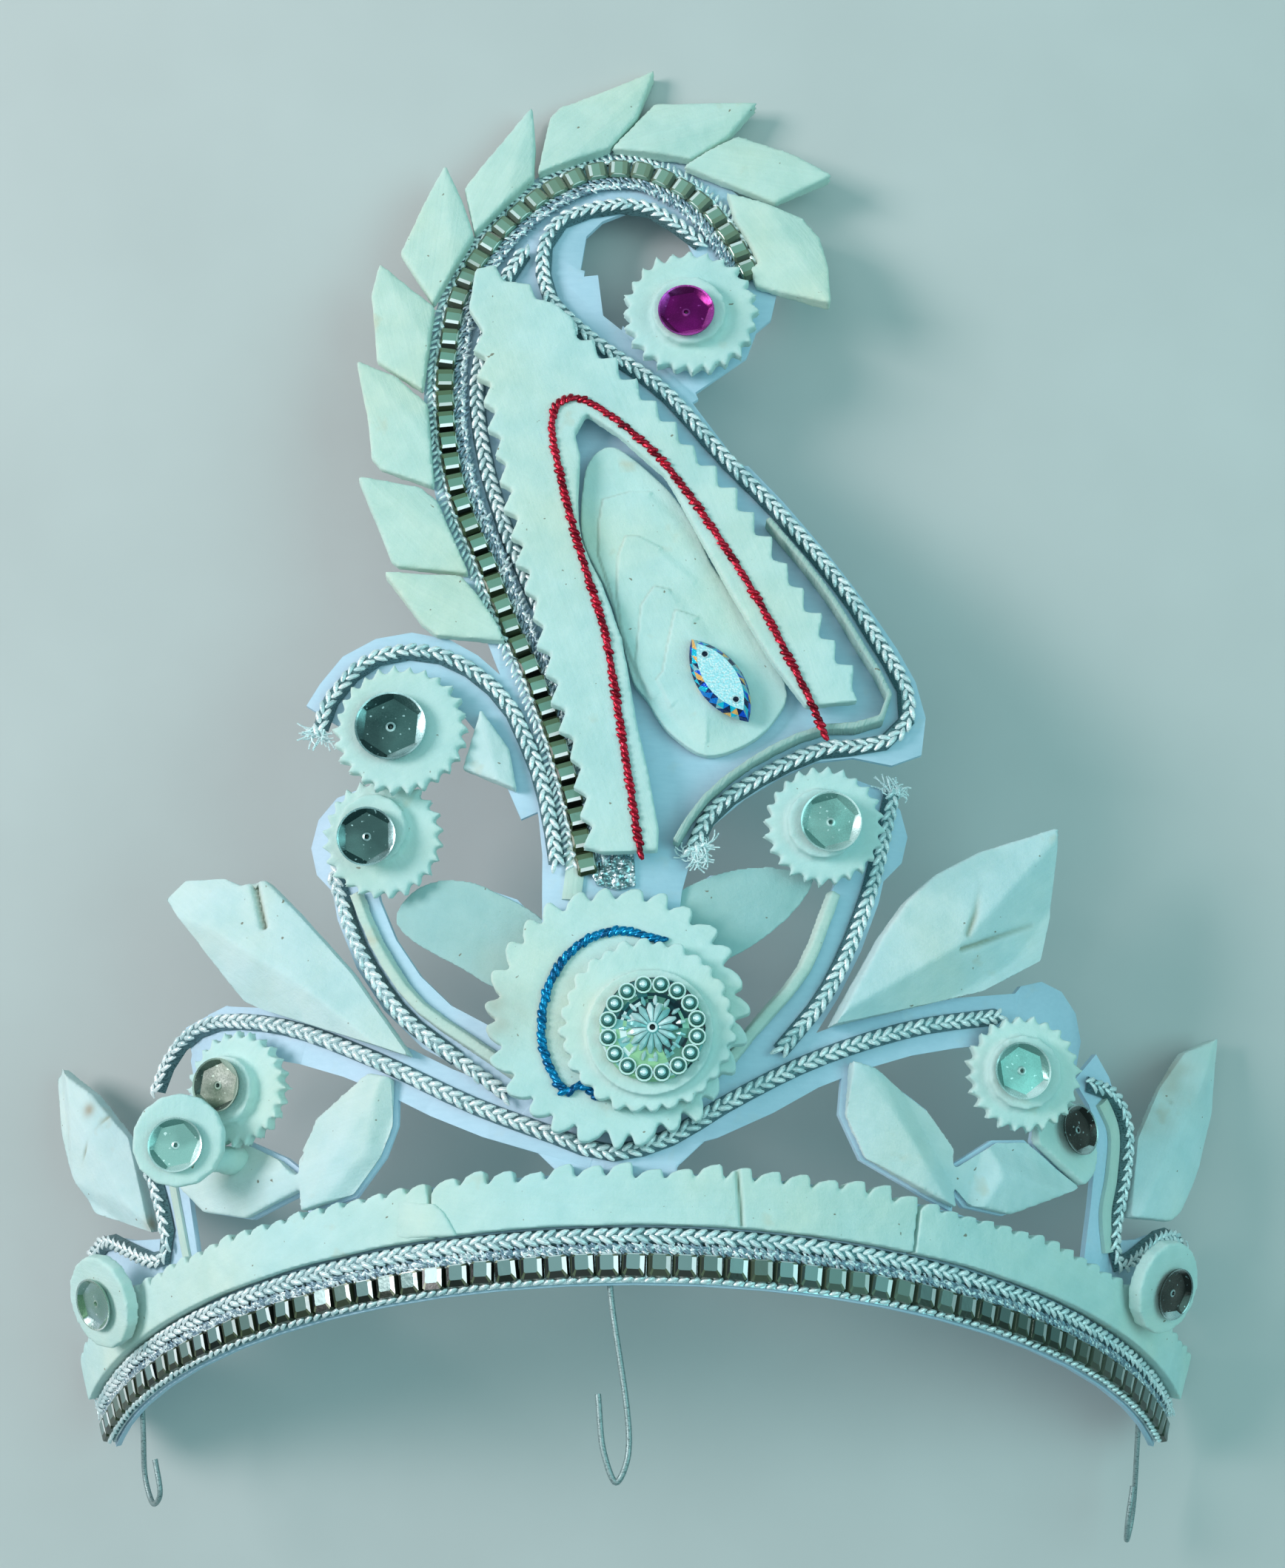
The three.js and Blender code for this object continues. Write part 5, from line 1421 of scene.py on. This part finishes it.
def sewn_stone_mesh():
    """A pointed oval stone: coloured bevel facets, a pebbled table and two sewing holes."""
    rng = random.Random(9)
    inner = (STONE_LENGTH - 3 * STONE_TABLE_INSET, STONE_WIDTH - 2 * STONE_TABLE_INSET)
    tiers = [(0, STONE_LENGTH - 1, STONE_WIDTH - 0.8), (0.6, STONE_LENGTH, STONE_WIDTH),
             (1.5, STONE_LENGTH - 1.2, STONE_WIDTH - 0.8), (2.5, *inner)]
    verts, faces, tones = [], [], []
    for z, length, width in tiers:
        verts += [Vector((x, y, z)) for x, y in pointed_oval(length, width, STONE_FACETS)]
    for a, b, c, d in ring_faces(len(tiers), STONE_FACETS):
        faces += [(a, b, c), (a, c, d)]
        tones += [rng.choice(BEVEL_TONES) for _ in range(2)]
    faces.append(tuple(range(len(verts) - STONE_FACETS, len(verts))))
    tones.append(1.0)
    for x in (-STONE_HOLE, STONE_HOLE):
        hole, loops = lathe([(0, 2.53), (0.5, 2.53), (0.55, 2.68), (0.75, 2.68), (0.8, 2.4)], 14, (x, 0, 0))
        start = len(verts)
        verts += hole
        faces += [tuple(start + i for i in loop) for loop in loops]
        # Each hole's floor painted dark as shade, its lip pale
        tones += [0.0 if max(loop) < 15 else 0.82 for loop in loops]
    return mesh_from("stone", [STONE_PLACE @ v for v in verts], faces, tones)


keep("sewn_stone", sewn_stone_mesh(), SEWN_STONE, ["marquise_stone"])

# Loose ends: ribs of pith, foil at the neck and frayed thread
SIDE_RIB_RIGHT = [(92.1, 34.2), (95.7, 29), (95.2, 21), (93.5, 14.4), (94.6, 7.7)]
SIDE_RIB_LEFT = [(-91, 20.8), (-89, 14.2), (-87, 7.7), (-85.6, 3.6)]
NECK_STRIP = [(-9.8, 78), (-9.8, 74), (-10, 69), (-10.6, 63.6)]


def rib(name, route, place, low, width, thick):
    mesh = strip(route, place, low, width, thick)
    uneven(mesh, 0.05)
    keep(name, mesh, TAN_PITH, ())


rib("side_rib_right", SIDE_RIB_RIGHT, on_card, 0.02, 2.8, 1.1)
rib("side_rib_left", SIDE_RIB_LEFT, on_card, 0.02, 1.8, 0.8)
rib("neck_strip", NECK_STRIP, on_paisley, PAISLEY_BASE - GAP + 0.02, 3.2, 0.9)
NECK_FOIL = [(-7.4, 72.5), (0, 72), (0.3, 66), (-2.9, 65.3), (-6.3, 66.2), (-7.8, 69)]


def crushed(q):
    return 0.5 * noise.noise(q * 0.9) + 0.35 * abs(noise.noise(q * 2.1)) if q.z > PAISLEY_BASE else 0.0


scrap = cut_sheet([(NECK_FOIL, PAISLEY_BASE - GAP + 0.02, PAISLEY_BASE + 0.5)], 0.2, on_paisley, crushed)
keep("neck_foil", smooth_shaded(scrap, 30), RIBBON_FOIL, ())

THREAD_RADIUS = 0.14
# Frayed ends: where, its surface and height, the way it points in degrees, its length and number of threads
FRAYS = {
    "scroll": ((-54.4, 94), on_paisley, PAISLEY_BASE, -110, 4.2, 60),
    "edge": ((10.3, 72.8), on_paisley, PAISLEY_BASE, -60, 5.0, 90),
    "upper_right": ((45.9, 84.6), on_card, GAP, 70, 3.8, 60),
    "side_right": ((124.6, 7.8), on_card, GAP, -50, 5.0, 70),
    "side_left": ((-121, 8), on_card, GAP, 200, 2.2, 30),
    "band_left": (on_band(-127, 7.7), on_card, GAP, 190, 3.0, 40),
    "band_right": (on_band(127, 7.7), on_card, GAP, -20, 3.0, 40),
}


def fray(name, start, place, low, degrees, length, count, seed):
    """Loose threads that spread from a braid's cut end."""
    rng = random.Random(seed)
    lines = []
    for _ in range(count):
        aim = math.radians(degrees + rng.gauss(0, 32))
        bend = math.radians(rng.gauss(0, 30))
        reach = length * rng.uniform(0.35, 1.0)
        side = rng.uniform(-1.1, 1.1)
        x = start[0] - side * math.sin(math.radians(degrees))
        y = start[1] + side * math.cos(math.radians(degrees))
        top, rise = rng.uniform(0.3, 1.5), rng.uniform(-0.9, 0.5)
        line = []
        for k in range(6):
            line.append(place(x, y, max(low + 0.15, low + top + rise * k / 5)))
            x += reach / 5 * math.cos(aim)
            y += reach / 5 * math.sin(aim)
            aim += bend
        lines.append(line)
    keep("fray_" + name, wire(lines, THREAD_RADIUS, 5, FRAYED), None, ())


for seed, (name, facts) in enumerate(FRAYS.items()):
    fray(name, *facts, seed + 40)

# The left strip of the band's pith laps over the middle one
LAP = [(-44, 14.6), (-40, 14.4), (-35.2, 13.3), (-32.1, 13.1), (-30.5, 11.7), (-29.2, 9.7), (-28.2, 7.8),
       (-44, 7.6)]
LAP_LOW = 2.4
LAP_HIGH = 3.75


def thinned(q):
    return -0.8 * max(0.0, min(1.0, (-34 - q.x) / 8)) * (q.z - LAP_LOW) / (LAP_HIGH - LAP_LOW)


added("pith_lap", cut_sheet([(LAP, LAP_LOW, LAP_HIGH)], 0.35, on_card, thinned), PITH)

# Wire hooks
HOOKS = {
    "hook_left": [(-109, -16), (-110.6, -25), (-112, -33), (-109, -37), (-104.5, -35), (-105.5, -29)],
    "hook_centre": [(-4.2, 8), (-3.8, -1), (-0.8, -26), (-2.8, -30.5), (-4.8, -26), (-5.8, -17)],
    "hook_right": [(116, -17), (119, -29), (123, -42), (121.4, -45), (119.6, -42), (119.4, -35)],
}
for node, route in HOOKS.items():
    mesh = wire([path(route, on_card, -CARD - GAP - WIRE_RADIUS)], WIRE_RADIUS, 12, HOOK_WIRE)
    keep("bent_" + node, mesh, None, [node])

# Stage, light and camera
floor_mesh = mesh_from("floor", [(-3, -3, 0), (3, -3, 0), (3, 3, 0), (-3, 3, 0)], [(0, 1, 2, 3)])
floor = new_object("floor", floor_mesh)
paper = Finish("floor_paper", 0.9)
paper.colour(paper.ramp(paper.noise(0.02, 3), (0.3, (0.60, 0.58, 0.57)), (0.7, (0.64, 0.62, 0.61))))
floor_mesh.materials.append(paper.material)


def lamp(name, place, aim, size, power, tint):
    light = bpy.data.lights.new(name, "AREA")
    light.size = size
    light.energy = power
    light.color = tint
    obj = bpy.data.objects.new(name, light)
    obj.location = place
    obj.rotation_euler = (Vector(aim) - Vector(place)).to_track_quat("-Z", "Y").to_euler()
    bpy.context.scene.collection.objects.link(obj)


lamp("key", (-0.78, 0.28, 0.58), (0, 0.01, 0.03), 0.38, 6.3, (1.0, 0.98, 1.0))
lamp("fill", (0.55, 0.10, 0.65), (0, 0, 0.03), 0.6, 2.3, (0.45, 1.0, 1.0))
lamp("top", (-0.15, 0.25, 1.1), (0, 0, 0.03), 0.8, 1.8, (0.85, 1.0, 1.0))
world = bpy.data.worlds.new("studio")
world.use_nodes = True
world.node_tree.nodes["Background"].inputs["Color"].default_value = (0.46, 0.90, 0.95, 1)
world.node_tree.nodes["Background"].inputs["Strength"].default_value = 0.32
bpy.context.scene.view_settings.view_transform = "Standard"
bpy.context.scene.world = world

# The photo's camera looks down from above the middle of the crown
VIEW_TILT = math.radians(0.26)
VIEW_PLACE = Vector((1.45, 81.0, 359.06)) * MM
IMAGE_LONG_SIDE = 2119
FOCAL_PIXELS = 3000
camera_data = bpy.data.cameras.new("camera")
camera_data.sensor_width = 36
camera_data.lens = 36 * FOCAL_PIXELS / IMAGE_LONG_SIDE
camera_data.clip_start = 0.01
camera = bpy.data.objects.new("camera", camera_data)
camera.location = CROWN_PLACE + Matrix.Rotation(-VIEW_TILT, 3, "X") @ VIEW_PLACE
camera.rotation_euler = (-VIEW_TILT, 0, 0)
bpy.context.scene.collection.objects.link(camera)
bpy.context.scene.camera = camera

for shape in (PLAIT, BAND_BAGUETTE, PAISLEY_BAGUETTE, LOOP_STITCH, FRINGE_STITCH, CROSS_STITCH, TWIST):
    bpy.data.objects.remove(shape)
